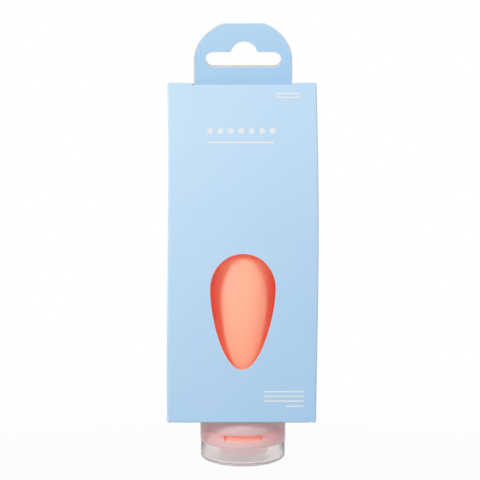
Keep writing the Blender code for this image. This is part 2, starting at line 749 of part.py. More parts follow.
def main():
    """Build the bottle, its cap and the carton."""
    clear_scene()
    parts = new_collection("squeeze_bottle")
    cutters = new_collection("cutters")
    pivots = new_collection("joint_axes")
    finishes = {
        "silicone": finish("coral_silicone", (0.95, 0.32, 0.20), 0.5),
        "frosted": finish("frosted_plastic", (0.75, 0.58, 0.56), 0.45, 0.4),
        "coral": finish("coral_plastic", (0.94, 0.30, 0.20), 0.4),
        "clear": finish("clear_plastic", (0.82, 0.78, 0.76), 0.15, 0.8),
        "card": finish("blue_board", (0.51, 0.71, 0.88), 0.6),
    }
    make_bottle(parts, cutters, finishes)
    make_valve(parts, cutters, finishes)
    make_cap_base(parts, cutters, finishes)
    make_collar(parts, cutters, finishes)
    ring = make_label_ring(parts, finishes)
    attach(ring, pivot("label_ring_axis", (0.0, 0.0, DECK_FACE), pivots))
    lid = make_lid(parts, cutters, finishes)
    attach(lid, pivot("lid_axis", LID_AXIS, pivots))
    make_panels(parts, finishes)
    make_hang_tab(parts, finishes)
    make_top(parts, pivots, finishes)
    make_cradle(parts, pivots, finishes)
    soften_shading()


main()
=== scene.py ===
"""The looks of a squeeze bottle that stands cap down in its hanging board carton.

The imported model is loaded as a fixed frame. Every piece here is a fine mesh with its own procedural
finish, built in the frame's metres, and rides on the frame's body that carries it.
"""

from __future__ import annotations

import logging
import math
from dataclasses import dataclass, field
from enum import Enum
from typing import Callable, Iterable, Sequence

import bmesh
import bpy
import numpy as np
from mathutils import Matrix, Vector
from mathutils.geometry import delaunay_2d_cdt

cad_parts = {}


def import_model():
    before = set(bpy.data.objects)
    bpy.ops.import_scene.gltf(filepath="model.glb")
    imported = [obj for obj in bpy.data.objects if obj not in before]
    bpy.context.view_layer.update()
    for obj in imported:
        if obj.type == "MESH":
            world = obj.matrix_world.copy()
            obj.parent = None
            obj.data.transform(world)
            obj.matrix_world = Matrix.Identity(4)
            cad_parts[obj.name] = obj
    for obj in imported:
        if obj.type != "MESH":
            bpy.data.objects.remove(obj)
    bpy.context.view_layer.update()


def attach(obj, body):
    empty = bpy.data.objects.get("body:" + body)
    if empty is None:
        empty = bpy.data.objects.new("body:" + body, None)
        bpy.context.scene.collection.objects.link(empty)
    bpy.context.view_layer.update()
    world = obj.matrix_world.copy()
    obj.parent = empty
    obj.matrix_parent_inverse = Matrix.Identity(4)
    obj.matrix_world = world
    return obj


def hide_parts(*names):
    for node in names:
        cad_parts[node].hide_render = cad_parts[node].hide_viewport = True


LOG = logging.getLogger("squeeze_bottle")

Point2 = tuple[float, float]
Point3 = tuple[float, float, float]
Span = tuple[float, float]
Outline = list[Point2]
Colour = tuple[float, float, float]
Socket = bpy.types.NodeSocket
Thing = bpy.types.Object
Material = bpy.types.Material
Tree = bpy.types.NodeTree

MERGE_DISTANCE = 1e-6
SHORTEST = 1e-12
TINY = 1e-18
TURN_STEPS = 128
ROD_SEGMENTS = 48
ROD_BEVEL_STEPS = 3
BRICK_BEVEL_STEPS = 4
SHARP_ANGLE = math.radians(38.0)
BOARD_SHARP_ANGLE = math.radians(50.0)
QUARTER = math.pi / 2


class Layer(Enum):
    """The material slot of each side of a board sheet."""

    PRINTED = 0
    INSIDE = 1
    CUT = 2


class Combine(Enum):
    """The ways to combine two solid meshes."""

    JOIN = "UNION"
    CUT = "DIFFERENCE"


def arc(centre: Point2, radius: float, start: float, end: float, steps: int) -> Outline:
    """Points on a circle.

    Args:
        centre: the circle's centre.
        radius: its radius.
        start: the first angle, in radians.
        end: the last angle, in radians.
        steps: how many chords the stretch has.

    Returns:
        The points, both ends included.
    """
    angles = np.linspace(start, end, steps + 1)
    return [(centre[0] + radius * math.cos(a), centre[1] + radius * math.sin(a)) for a in angles]


def rounded(corners: Sequence[tuple[float, float, float]], steps: int = 5, closed: bool = False) -> Outline:
    """Round the corners of a polyline.

    Args:
        corners: x, y and the fillet radius at each corner.
        steps: chords in each fillet.
        closed: whether the last corner joins the first.

    Returns:
        The polyline with a circular fillet at each corner that has a radius.
    """
    count = len(corners)
    points: Outline = []
    for index, (x, y, radius) in enumerate(corners):
        if radius <= 0 or (not closed and index in (0, count - 1)):
            points.append((x, y))
            continue
        here = Vector((x, y))
        before = (Vector(corners[index - 1][:2]) - here).normalized()
        after = (Vector(corners[(index + 1) % count][:2]) - here).normalized()
        half = before.angle(after) / 2
        reach = radius / math.tan(half)
        centre = here + (before + after).normalized() * (radius / math.sin(half))
        first, last = here + before * reach - centre, here + after * reach - centre
        start = math.atan2(first.y, first.x)
        sweep = (math.atan2(last.y, last.x) - start + math.pi) % (2 * math.pi) - math.pi
        points += arc((centre.x, centre.y), radius, start, start + sweep, steps)
    return points


def link(name: str, mesh: bpy.types.Mesh) -> Thing:
    """Link a mesh to the scene as a new object at the origin.

    Args:
        name: the object's name.
        mesh: its mesh.

    Returns:
        The object.
    """
    thing = bpy.data.objects.new(name, mesh)
    bpy.context.scene.collection.objects.link(thing)
    return thing


def plain(thing: Thing) -> Thing:
    """Turn an object with modifiers into one with the plain mesh that they make.

    Args:
        thing: the object; it is removed.

    Returns:
        A new object of the same name, with the evaluated mesh and no modifiers.
    """
    bpy.context.view_layer.update()
    evaluated = thing.evaluated_get(bpy.context.evaluated_depsgraph_get())
    mesh = bpy.data.meshes.new_from_object(evaluated)
    name = thing.name
    bpy.data.objects.remove(thing, do_unlink=True)
    mesh.name = name
    return link(name, mesh)


def settled(name: str, shape: bmesh.types.BMesh) -> Thing:
    """Turn a bmesh into a new object and free it.

    Args:
        name: the object's name.
        shape: the finished bmesh.

    Returns:
        The new object.
    """
    mesh = bpy.data.meshes.new(name)
    shape.to_mesh(mesh)
    shape.free()
    return link(name, mesh)


def shade(thing: Thing, angle: float = SHARP_ANGLE) -> None:
    """Shade a mesh smooth, apart from edges sharper than an angle."""
    thing.data.shade_smooth()
    thing.data.set_sharp_from_angle(angle=angle)


def combined(thing: Thing, other: Thing, way: Combine) -> Thing:
    """Join or cut a mesh with another, which is used up.

    Args:
        thing: the object that is kept.
        other: the object that is joined or cut away.
        way: how they are combined.

    Returns:
        The kept object, with a plain mesh.
    """
    modifier = thing.modifiers.new("combine", "BOOLEAN")
    modifier.operation = way.value
    modifier.object = other
    modifier.solver = "EXACT"
    result = plain(thing)
    bpy.data.objects.remove(other, do_unlink=True)
    return result


def dressed(thing: Thing, body: str, nodes: Iterable[str]) -> Thing:
    """Seat a finished piece in the frame and report it.

    Args:
        thing: the piece, in place.
        body: the frame's body that carries it.
        nodes: the frame's nodes that it stands for.

    Returns:
        The piece.
    """
    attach(thing, body)
    names = list(nodes)
    if names:
        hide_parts(*names)
    LOG.info("%s: %d faces, rides on %s, stands for %s", thing.name, len(thing.data.polygons), body, names)
    return thing


class Wiring:
    """A short way to add nodes to a node tree and to feed them."""

    def __init__(self, tree: Tree) -> None:
        """Take a node tree."""
        self.tree = tree

    def give(self, socket: Socket, source: object) -> None:
        """Link or set one input.

        Args:
            socket: the input.
            source: a socket or a value.
        """
        if isinstance(source, Socket):
            self.tree.links.new(source, socket)
        else:
            socket.default_value = source

    def feed(self, node: bpy.types.Node, **sources: object) -> bpy.types.Node:
        """Link or set a node's inputs.

        Args:
            node: the node.
            sources: input names with underscores for spaces, and a socket or a value for each.

        Returns:
            The node.
        """
        for key, source in sources.items():
            self.give(node.inputs[key.replace("_", " ")], source)
        return node

    def node(self, kind: str, **settings: object) -> bpy.types.Node:
        """Add a shader node and set its attributes.

        Args:
            kind: the node's type, without the word that all shader nodes start with.
            settings: attributes and their values.

        Returns:
            The node.
        """
        made = self.tree.nodes.new("ShaderNode" + kind)
        for key, value in settings.items():
            setattr(made, key, value)
        return made

    def math(self, operation: str, *values: object) -> Socket:
        """A number made from sockets and numbers.

        Args:
            operation: the Math node's operation.
            values: its inputs.

        Returns:
            The result.
        """
        made = self.node("Math", operation=operation)
        for socket, value in zip(made.inputs, values):
            self.give(socket, value)
        return made.outputs[0]

    def axes(self, vector: Socket) -> tuple[Socket, ...]:
        """A vector's X, Y and Z."""
        return tuple(self.feed(self.node("SeparateXYZ"), Vector=vector).outputs)

    def span(self, value: Socket, source: Span, target: Span = (0.0, 1.0), kind: str = "LINEAR") -> Socket:
        """Map one span of a value to another, clamped.

        Args:
            value: the value.
            source: where its span starts and ends.
            target: the results there.
            kind: the way between them.

        Returns:
            The mapped value.
        """
        made = self.node("MapRange", interpolation_type=kind)
        for key, number in zip(("From Min", "From Max", "To Min", "To Max"), source + target):
            made.inputs[key].default_value = number
        return self.feed(made, Value=value).outputs["Result"]

    def seen(self) -> Socket:
        """1 for camera, glossy and transmission rays, and 0 for the rest.

        Returns:
            The value.
        """
        rays = self.node("LightPath").outputs
        first = self.math("MAXIMUM", rays["Is Camera Ray"], rays["Is Glossy Ray"])
        return self.math("MAXIMUM", first, rays["Is Transmission Ray"])


class Graph(Wiring):
    """The node tree of a Principled material."""

    def __init__(self, name: str) -> None:
        """Start a material with its Principled shader.

        Args:
            name: the material's name.
        """
        self.material = bpy.data.materials.new(name)
        self.material.use_nodes = True
        super().__init__(self.material.node_tree)
        self.shader = self.tree.nodes["Principled BSDF"]

    def shine(self, **values: object) -> None:
        """Set or link the shader's own sockets, as for feed."""
        self.feed(self.shader, **values)

    def place(self, scale: Point3 = (1.0, 1.0, 1.0)) -> Socket:
        """Object coordinates, stretched along the axes.

        Args:
            scale: what each axis is multiplied by.

        Returns:
            The coordinates.
        """
        place = self.node("TexCoord").outputs["Object"]
        return self.feed(self.node("Mapping"), Vector=place, Scale=scale).outputs["Vector"]

    def noise(self, place: Socket, size: float, detail: float = 3.0, rough: float = 0.55) -> Socket:
        """Noise of a feature size.

        Args:
            place: the coordinates.
            size: the size of a feature, in metres.
            detail: octaves.
            rough: how strong the finer octaves are.

        Returns:
            The factor, about 0.5 on average.
        """
        made = self.node("TexNoise")
        return self.feed(made, Vector=place, Scale=1.0 / size, Detail=detail, Roughness=rough).outputs["Fac"]

    def blend(self, factor: Socket, first: Socket | Colour, second: Socket | Colour) -> Socket:
        """Mix two colours.

        Args:
            factor: 0 for the first colour, 1 for the second.
            first: a colour or a socket.
            second: a colour or a socket.

        Returns:
            The mixed colour.
        """
        made = self.node("Mix", data_type="RGBA")
        self.give(made.inputs["Factor"], factor)
        colours = [socket for socket in made.inputs if socket.type == "RGBA"]
        for socket, colour in zip(colours, (first, second)):
            self.give(socket, colour if isinstance(colour, Socket) else (*colour, 1.0))
        return next(socket for socket in made.outputs if socket.type == "RGBA")

    def attribute(self, name: str) -> Socket:
        """A number that the mesh carries at each point."""
        return self.node("Attribute", attribute_name=name).outputs["Fac"]

    def bump(self, height: Socket, depth: float, before: Socket | None = None) -> Socket:
        """Turn a height into a normal.

        Args:
            height: the height, from 0 to 1.
            depth: how deep 1 is, in metres.
            before: the normal of an earlier bump.

        Returns:
            The normal.
        """
        made = self.feed(self.node("Bump"), Height=height, Distance=depth)
        if before is not None:
            self.feed(made, Normal=before)
        return made.outputs["Normal"]


@dataclass(frozen=True)
class PrintedBoardPaintedShade:
    """Laminated board with a blue print, rubbed at creases and edges; its darkening downwards and to the
    right is painted shade for the light falling off from the upper left.
    """

    name: str = "printed_board"
    # pale to deep, by height and across, is painted shade: lighter at the top left, where the light falls
    # strongest
    pale: Colour = (0.553, 0.735, 0.893)
    deep: Colour = (0.380, 0.615, 0.870)
    rubbed: Colour = (0.68, 0.80, 0.90)
    height: Span = (0.150, 0.020)
    down_share: float = 0.62
    width: Span = (-0.0317, 0.0317)
    painted_shade_across_share: float = 0.28
    cloud: float = 0.030
    cloud_span: Span = (0.3, 0.7)
    cloud_share: float = 0.06
    fibre: float = 0.00022
    fibre_stretch: float = 0.45
    fibre_octaves: float = 4.0
    fibre_roughness: float = 0.65
    fibre_depth: float = 0.000012
    mottle_span: Span = (0.35, 0.75)
    mottle_share: float = 0.05
    rub_span: Span = (0.2, 0.6)
    wave: float = 0.012
    wave_depth: float = 0.00006
    roughness: float = 0.46
    coat: float = 0.12
    coat_roughness: float = 0.38
    sheen: float = 0.06
    sheen_roughness: float = 0.4

    def material(self) -> Material:
        """Build the material.

        Returns:
            The print with its painted shade, which also reads the mesh's rub.
        """
        graph = Graph(self.name)
        here = graph.place()
        x, _, z = graph.axes(here)
        # painted shade: the print darkens downwards and to the right
        down = graph.span(z, self.height, (0.0, self.down_share))
        across = graph.span(x, self.width, (0.0, self.painted_shade_across_share))
        clouds = graph.noise(here, self.cloud, detail=2.0)
        cloud = graph.span(clouds, self.cloud_span, (-self.cloud_share, self.cloud_share))
        fade = graph.math("ADD", graph.math("ADD", down, across), cloud)
        stretched = graph.place((1.0, 1.0, self.fibre_stretch))
        fibre = graph.noise(stretched, self.fibre, self.fibre_octaves, self.fibre_roughness)
        tone = graph.blend(fade, self.pale, self.deep)
        mottled = graph.math("MULTIPLY", graph.span(fibre, self.mottle_span), self.mottle_share)
        tone = graph.blend(mottled, tone, self.rubbed)
        worn = graph.span(fibre, self.rub_span, self.rub_span)
        rub = graph.math("MULTIPLY", graph.attribute("rub"), worn)
        graph.shine(Base_Color=graph.blend(rub, tone, self.rubbed))
        wave = graph.bump(graph.noise(here, self.wave, detail=1.0), self.wave_depth)
        graph.shine(Normal=graph.bump(fibre, self.fibre_depth, wave))
        graph.shine(Roughness=self.roughness, Coat_Weight=self.coat, Coat_Roughness=self.coat_roughness)
        graph.shine(Sheen_Weight=self.sheen, Sheen_Roughness=self.sheen_roughness)
        return graph.material


@dataclass(frozen=True)
class BareBoard:
    """The board's uncoated side, and with a creamier colour its cut edges."""

    name: str = "bare_board"
    tone: Colour = (0.62, 0.60, 0.57)
    fleck: Colour = (0.50, 0.48, 0.45)
    fibre: float = 0.00035
    fibre_stretch: float = 0.3
    fibre_octaves: float = 5.0
    fibre_roughness: float = 0.7
    fibre_depth: float = 0.00003
    fibre_span: Span = (0.4, 0.8)
    fibre_share: float = 0.35
    fleck_scale: float = 3.0
    fleck_span: Span = (0.62, 0.72)
    fleck_share: float = 0.7
    roughness: float = 0.85
    specular: float = 0.3
    sheen: float = 0.15
    sheen_roughness: float = 0.6

    def material(self) -> Material:
        """Build the material.

        Returns:
            The bare board.
        """
        graph = Graph(self.name)
        stretched = graph.place((1.0, 1.0, self.fibre_stretch))
        fibre = graph.noise(stretched, self.fibre, self.fibre_octaves, self.fibre_roughness)
        coarse = graph.noise(graph.place(), self.fibre * self.fleck_scale)
        flecks = graph.span(coarse, self.fleck_span, (0.0, self.fleck_share))
        streaks = graph.span(fibre, self.fibre_span, (0.0, self.fibre_share))
        graph.shine(Base_Color=graph.blend(flecks, graph.blend(streaks, self.tone, self.fleck), self.fleck))
        graph.shine(Normal=graph.bump(fibre, self.fibre_depth))
        graph.shine(Roughness=self.roughness, Specular_IOR_Level=self.specular)
        graph.shine(Sheen_Weight=self.sheen, Sheen_Roughness=self.sheen_roughness)
        return graph.material


@dataclass(frozen=True)
class Silicone:
    """Matt coral silicone: light goes a little way in, the red furthest; it also glows red, painted light
    for more of that light in its shade.
    """

    coral: Colour = (1.0, 0.55, 0.39)
    deep: Colour = (1.0, 0.46, 0.30)
    deepening: Span = (0.075, 0.040)
    deep_share: float = 0.85
    cloud: float = 0.018
    cloud_span: Span = (0.3, 0.7)
    cloud_share: float = 0.15
    grain: float = 0.00016
    grain_roughness: float = 0.6
    grain_depth: float = 0.000008
    parting_width: float = 0.00025
    parting_depth: float = 0.00008
    roughness: float = 0.42
    refraction: float = 1.43
    specular: float = 0.3
    scatter_scale: float = 0.001
    scatter: Point3 = (25.0, 0.15, 0.1)
    # painted light: the silicone glows red, standing in for light that has gone through it into its shaded
    # parts
    painted_glow_tone: Colour = (1.0, 0.03, 0.015)
    painted_glow: float = 0.175
    painted_glow_dimming: Span = (0.135, 0.158)
    dimmed_share: float = 0.6

    def material(self) -> Material:
        """Build the material.

        Returns:
            The silicone, with its parting line and a painted red emission that weakens near the closed end.
        """
        graph = Graph("coral_silicone")
        here = graph.place()
        _, y, z = graph.axes(here)
        clouds = graph.noise(here, self.cloud, detail=2.0)
        cloud = graph.span(clouds, self.cloud_span, (0.0, self.cloud_share))
        grain = graph.noise(here, self.grain, rough=self.grain_roughness)
        low = graph.span(z, self.deepening, (0.0, self.deep_share))
        graph.shine(Base_Color=graph.blend(graph.math("ADD", cloud, low), self.coral, self.deep))
        line = graph.span(graph.math("ABSOLUTE", y), (0.0, self.parting_width), (1.0, 0.0))
        parting = graph.bump(line, self.parting_depth)
        graph.shine(Normal=graph.bump(grain, self.grain_depth, parting))
        graph.shine(Roughness=self.roughness, IOR=self.refraction, Specular_IOR_Level=self.specular)
        graph.shine(Subsurface_Weight=1.0, Subsurface_Scale=self.scatter_scale)
        graph.shine(Subsurface_Radius=self.scatter, Emission_Color=(*self.painted_glow_tone, 1.0))
        # painted light: the red emission, weaker near the closed end
        painted_glow = graph.span(z, self.painted_glow_dimming, (self.painted_glow, self.dimmed_share * self.painted_glow))
        graph.shine(Emission_Strength=painted_glow)
        return graph.material


@dataclass(frozen=True)
class PaintedShowThrough:
    """A painted show-through: a patch of another tone on a front, standing in for a coloured part seen
    through the frosted wall; it fades out sideways and backwards.
    """

    tone: Colour
    side: Span = (0.0085, 0.0140)
    strength: float = 0.9
    front: Span = (-0.0090, -0.0120)
    low: Span = (0.0117, 0.0124)
    high: Span = (0.0132, 0.0140)

    def laid(self, graph: Graph, here: Socket, under: Socket) -> Socket:
        """Lay the patch over a colour.

        Args:
            graph: the material's graph.
            here: the coordinates.
            under: the colour below.

        Returns:
            The colour with the patch.
        """
        x, y, z = graph.axes(here)
        side = graph.span(graph.math("ABSOLUTE", x), self.side, (self.strength, 0.0))
        band = graph.math("MULTIPLY", graph.span(z, self.low), graph.span(z, self.high, (1.0, 0.0)))
        patch = graph.math("MULTIPLY", side, graph.span(y, self.front))
        return graph.blend(graph.math("MULTIPLY", band, patch), under, self.tone)


@dataclass(frozen=True)
class MouldedPlastic:
    """A moulded plastic: frosted, clear or opaque, by its transmission and roughness."""

    name: str
    tone: Colour
    shaded: Colour
    roughness: float
    transmission: float = 0.0
    refraction: float = 1.49
    cloud: float = 0.010
    cloud_span: Span = (0.35, 0.65)
    grain: float = 0.00012
    grain_depth: float = 0.000006
    # edge: a tone towards the silhouette, by Layer Weight; painted shade on the sides
    edge: Colour | None = None
    painted_edge_shade_from: Span = (0.70, 0.92)
    painted_glow: Colour | None = None
    painted_glow_strength: float = 0.25
    painted_show_through: PaintedShowThrough | None = None

    def material(self) -> Material:
        """Build the material.

        Returns:
            The plastic, with its painted show-through, painted edge shade and painted emission where it has
            them.
        """
        graph = Graph(self.name)
        here = graph.place()
        cloud = graph.span(graph.noise(here, self.cloud), self.cloud_span)
        tone = graph.blend(cloud, self.tone, self.shaded)
        if self.painted_show_through is not None:
            tone = self.painted_show_through.laid(graph, here, tone)
        # painted shade: darker towards the silhouette
        if self.edge is not None:
            facing = graph.node("LayerWeight").outputs["Facing"]
            tone = graph.blend(graph.span(facing, self.painted_edge_shade_from), tone, self.edge)
        graph.shine(Base_Color=tone)
        graph.shine(Normal=graph.bump(graph.noise(here, self.grain, detail=2.0), self.grain_depth))
        graph.shine(Roughness=self.roughness, IOR=self.refraction)
        graph.shine(Transmission_Weight=self.transmission)
        if self.painted_glow is not None:
            graph.shine(Emission_Color=(*self.painted_glow, 1.0), Emission_Strength=self.painted_glow_strength)
        return graph.material


@dataclass(frozen=True)
class Ink:
    """Off-white ink, a little glossy and slightly broken over the board's fibres."""

    tone: Colour = (0.80, 0.83, 0.85)
    thin: Colour = (0.66, 0.75, 0.84)
    fibre: float = 0.00025
    fibre_octaves: float = 4.0
    fibre_roughness: float = 0.6
    fibre_span: Span = (0.45, 0.75)
    fibre_depth: float = 0.00001
    roughness: float = 0.4
    coat: float = 0.1

    def material(self) -> Material:
        """Build the material.

        Returns:
            The ink.
        """
        graph = Graph("white_ink")
        fibre = graph.noise(graph.place(), self.fibre, self.fibre_octaves, self.fibre_roughness)
        graph.shine(Base_Color=graph.blend(graph.span(fibre, self.fibre_span), self.tone, self.thin))
        graph.shine(Normal=graph.bump(fibre, self.fibre_depth))
        graph.shine(Roughness=self.roughness, Coat_Weight=self.coat)
        return graph.material


@dataclass(frozen=True)
class Finishes:
    """Every material of the object, made once."""

    printed: Material = field(default_factory=PrintedBoardPaintedShade().material)
    # the tab's print is darker than the front's and darkest at its base: painted shade for its weaker light,
    # and a painted shadow where it rises from the carton's top
    printed_tab: Material = field(
        default_factory=PrintedBoardPaintedShade(
            "printed_tab", pale=(0.44, 0.63, 0.82), deep=(0.335, 0.58, 0.84), height=(0.1880, 0.1635)
        ).material
    )
    bare: Material = field(default_factory=BareBoard().material)
    cut: Material = field(
        default_factory=BareBoard("cut_board", (0.94, 0.91, 0.87), (0.86, 0.83, 0.79)).material
    )
    silicone: Material = field(default_factory=Silicone().material)
    frosted: Material = field(
        default_factory=MouldedPlastic(
            "frosted_plastic",
            tone=(1.0, 0.815, 0.805),
            shaded=(1.0, 0.80, 0.80),
            roughness=0.36,
            transmission=0.5,
            # painted shade on the collar's sides
            edge=(1.0, 0.71, 0.72),
            painted_edge_shade_from=(0.05, 0.5),
            # painted show-through: coral beside the sight slot, for the coral inside seen through the
            # frosted wall
            painted_show_through=PaintedShowThrough((1.0, 0.50, 0.49)),
        ).material
    )
    inner: Material = field(
        default_factory=MouldedPlastic(
            "inner_plastic",
            tone=(0.46, 0.36, 0.38),
            shaded=(0.45, 0.35, 0.37),
            roughness=0.4,
            # painted light: the inner plastic glows, lighting the pedestal, the spout and the lid's rim,
            # which the lamps hardly reach
            painted_glow=(1.0, 0.72, 0.73),
        ).material
    )
    foot: Material = field(
        default_factory=MouldedPlastic(
            "etched_plastic",
            tone=(1.0, 0.95, 0.95),
            shaded=(0.99, 0.94, 0.94),
            roughness=0.42,
            transmission=1.0,
        ).material
    )
    clear: Material = field(
        default_factory=MouldedPlastic(
            "clear_plastic",
            tone=(0.96, 0.93, 0.91),
            shaded=(0.95, 0.92, 0.90),
            roughness=0.04,
            transmission=1.0,
            # painted shade: near-black edges on the clear lid's sides
            edge=(0.03, 0.02, 0.03),
            painted_edge_shade_from=(0.52, 0.78),
        ).material
    )
    coral: Material = field(
        default_factory=MouldedPlastic(
            "coral_plastic",
            tone=(1.0, 0.39, 0.29),
            shaded=(1.0, 0.35, 0.26),
            roughness=0.35,
            # painted light: the coral glows, brightening the ring in the sight slot's shade
            painted_glow=(1.0, 0.16, 0.10),
        ).material
    )
    ink: Material = field(default_factory=Ink().material)

    def board(self) -> list[Material]:
        """A sheet's materials, in the order of Layer."""
        return [self.printed, self.bare, self.cut]


@dataclass(frozen=True)
class Run:
    """A stretch of a folded line: straight, or turning left by an angle."""

    length: float
    turn: float = 0.0


@dataclass
class FoldPath:
    """The middle of a folded board, seen along its creases."""

    start: Point2
    heading: float
    runs: list[Run]
    origin: float = 0.0
    margin: float = 0.0003

    def starts(self) -> list[float]:
        """Where each run starts, along the path, and where the last ends."""
        return [self.origin + total for total in np.cumsum([0.0] + [run.length for run in self.runs])]

    def at(self, distance: np.ndarray) -> tuple[np.ndarray, np.ndarray]:
        """Follow the path.

        Args:
            distance: how far along, for each point.

        Returns:
            The places and the normals to the left of the path.
        """
        place = np.zeros((len(distance), 2))
        heading = np.zeros(len(distance))
        here, angle = np.array(self.start), self.heading
        marks = self.starts()
        for index, run in enumerate(self.runs):
            low = -np.inf if index == 0 else marks[index]
            high = np.inf if index == len(self.runs) - 1 else marks[index + 1]
            chosen = (distance >= low) & (distance < high)
            along = np.append(distance[chosen] - marks[index], run.length)
            if run.turn:
                radius = run.length / run.turn
                swept = angle + along / radius
                across, up = np.sin(swept) - math.sin(angle), math.cos(angle) - np.cos(swept)
                steps = radius * np.column_stack((across, up))
            else:
                swept = np.full(len(along), angle)
                steps = along[:, None] * np.array((math.cos(angle), math.sin(angle)))
            place[chosen] = here + steps[:-1]
            heading[chosen] = swept[:-1]
            here = here + steps[-1]
            angle = swept[-1]
        return place, np.column_stack((-np.sin(heading), np.cos(heading)))

    def raised(self, distance: np.ndarray, rise: float) -> np.ndarray:
        """Places at a height over the path, on its left."""
        place, left = self.at(distance)
        return place + rise * left

    def stations(self, step: float, bends: int) -> list[float]:
        """Places for lattice lines: sparse on the flats, close together at the folds.

        Args:
            step: the spacing on a flat.
            bends: how many chords a fold has, besides an extra line on each side of it.

        Returns:
            The distances along the path.
        """
        marks = self.starts()
        lines: list[float] = []
        for index, run in enumerate(self.runs):
            low, high = marks[index], marks[index + 1]
            if run.turn:
                lines += list(np.linspace(low, high, bends + 1))
                lines += [low - self.margin, high + self.margin]
            else:
                lines += list(np.linspace(low, high, max(2, math.ceil(run.length / step) + 1)))
        return sorted(lines)

    def bent(self, distance: np.ndarray) -> np.ndarray:
        """How much each point lies on a fold.

        Args:
            distance: how far along the path, for each point.

        Returns:
            1 in a fold, 0 from the margin away.
        """
        marks = self.starts()
        share = np.zeros(len(distance))
        for index, run in enumerate(self.runs):
            if run.turn:
                away = np.maximum(marks[index] - distance, distance - marks[index + 1])
                share = np.maximum(share, 1.0 - np.clip(away / self.margin, 0.0, 1.0))
        return share


def inset(outline: Outline, distance: float) -> Outline:
    """A copy of a closed outline, moved inwards or outwards.

    Args:
        outline: its points, in order.
        distance: how far each side moves to its left.

    Returns:
        The moved points.
    """
    points = np.array(outline)
    ahead = np.roll(points, -1, axis=0) - points
    ahead /= np.maximum(np.linalg.norm(ahead, axis=1), SHORTEST)[:, None]
    left = np.column_stack((-ahead[:, 1], ahead[:, 0]))
    middle = left + np.roll(left, 1, axis=0)
    scale = np.maximum((middle * middle).sum(axis=1) / 2, 0.5)
    return [tuple(point) for point in points + middle * (distance / scale)[:, None]]


def spaced(outline: Outline, step: float) -> Outline:
    """Split the long sides of a closed outline.

    Args:
        outline: its points, in order.
        step: the longest side that stays whole.

    Returns:
        The points, with new ones between them.
    """
    points: Outline = []
    for index, first in enumerate(outline):
        last = outline[(index + 1) % len(outline)]
        count = max(1, math.ceil(math.dist(first, last) / step))
        points += [
            (first[0] + (last[0] - first[0]) * k / count, first[1] + (last[1] - first[1]) * k / count)
            for k in range(count)
        ]
    return points


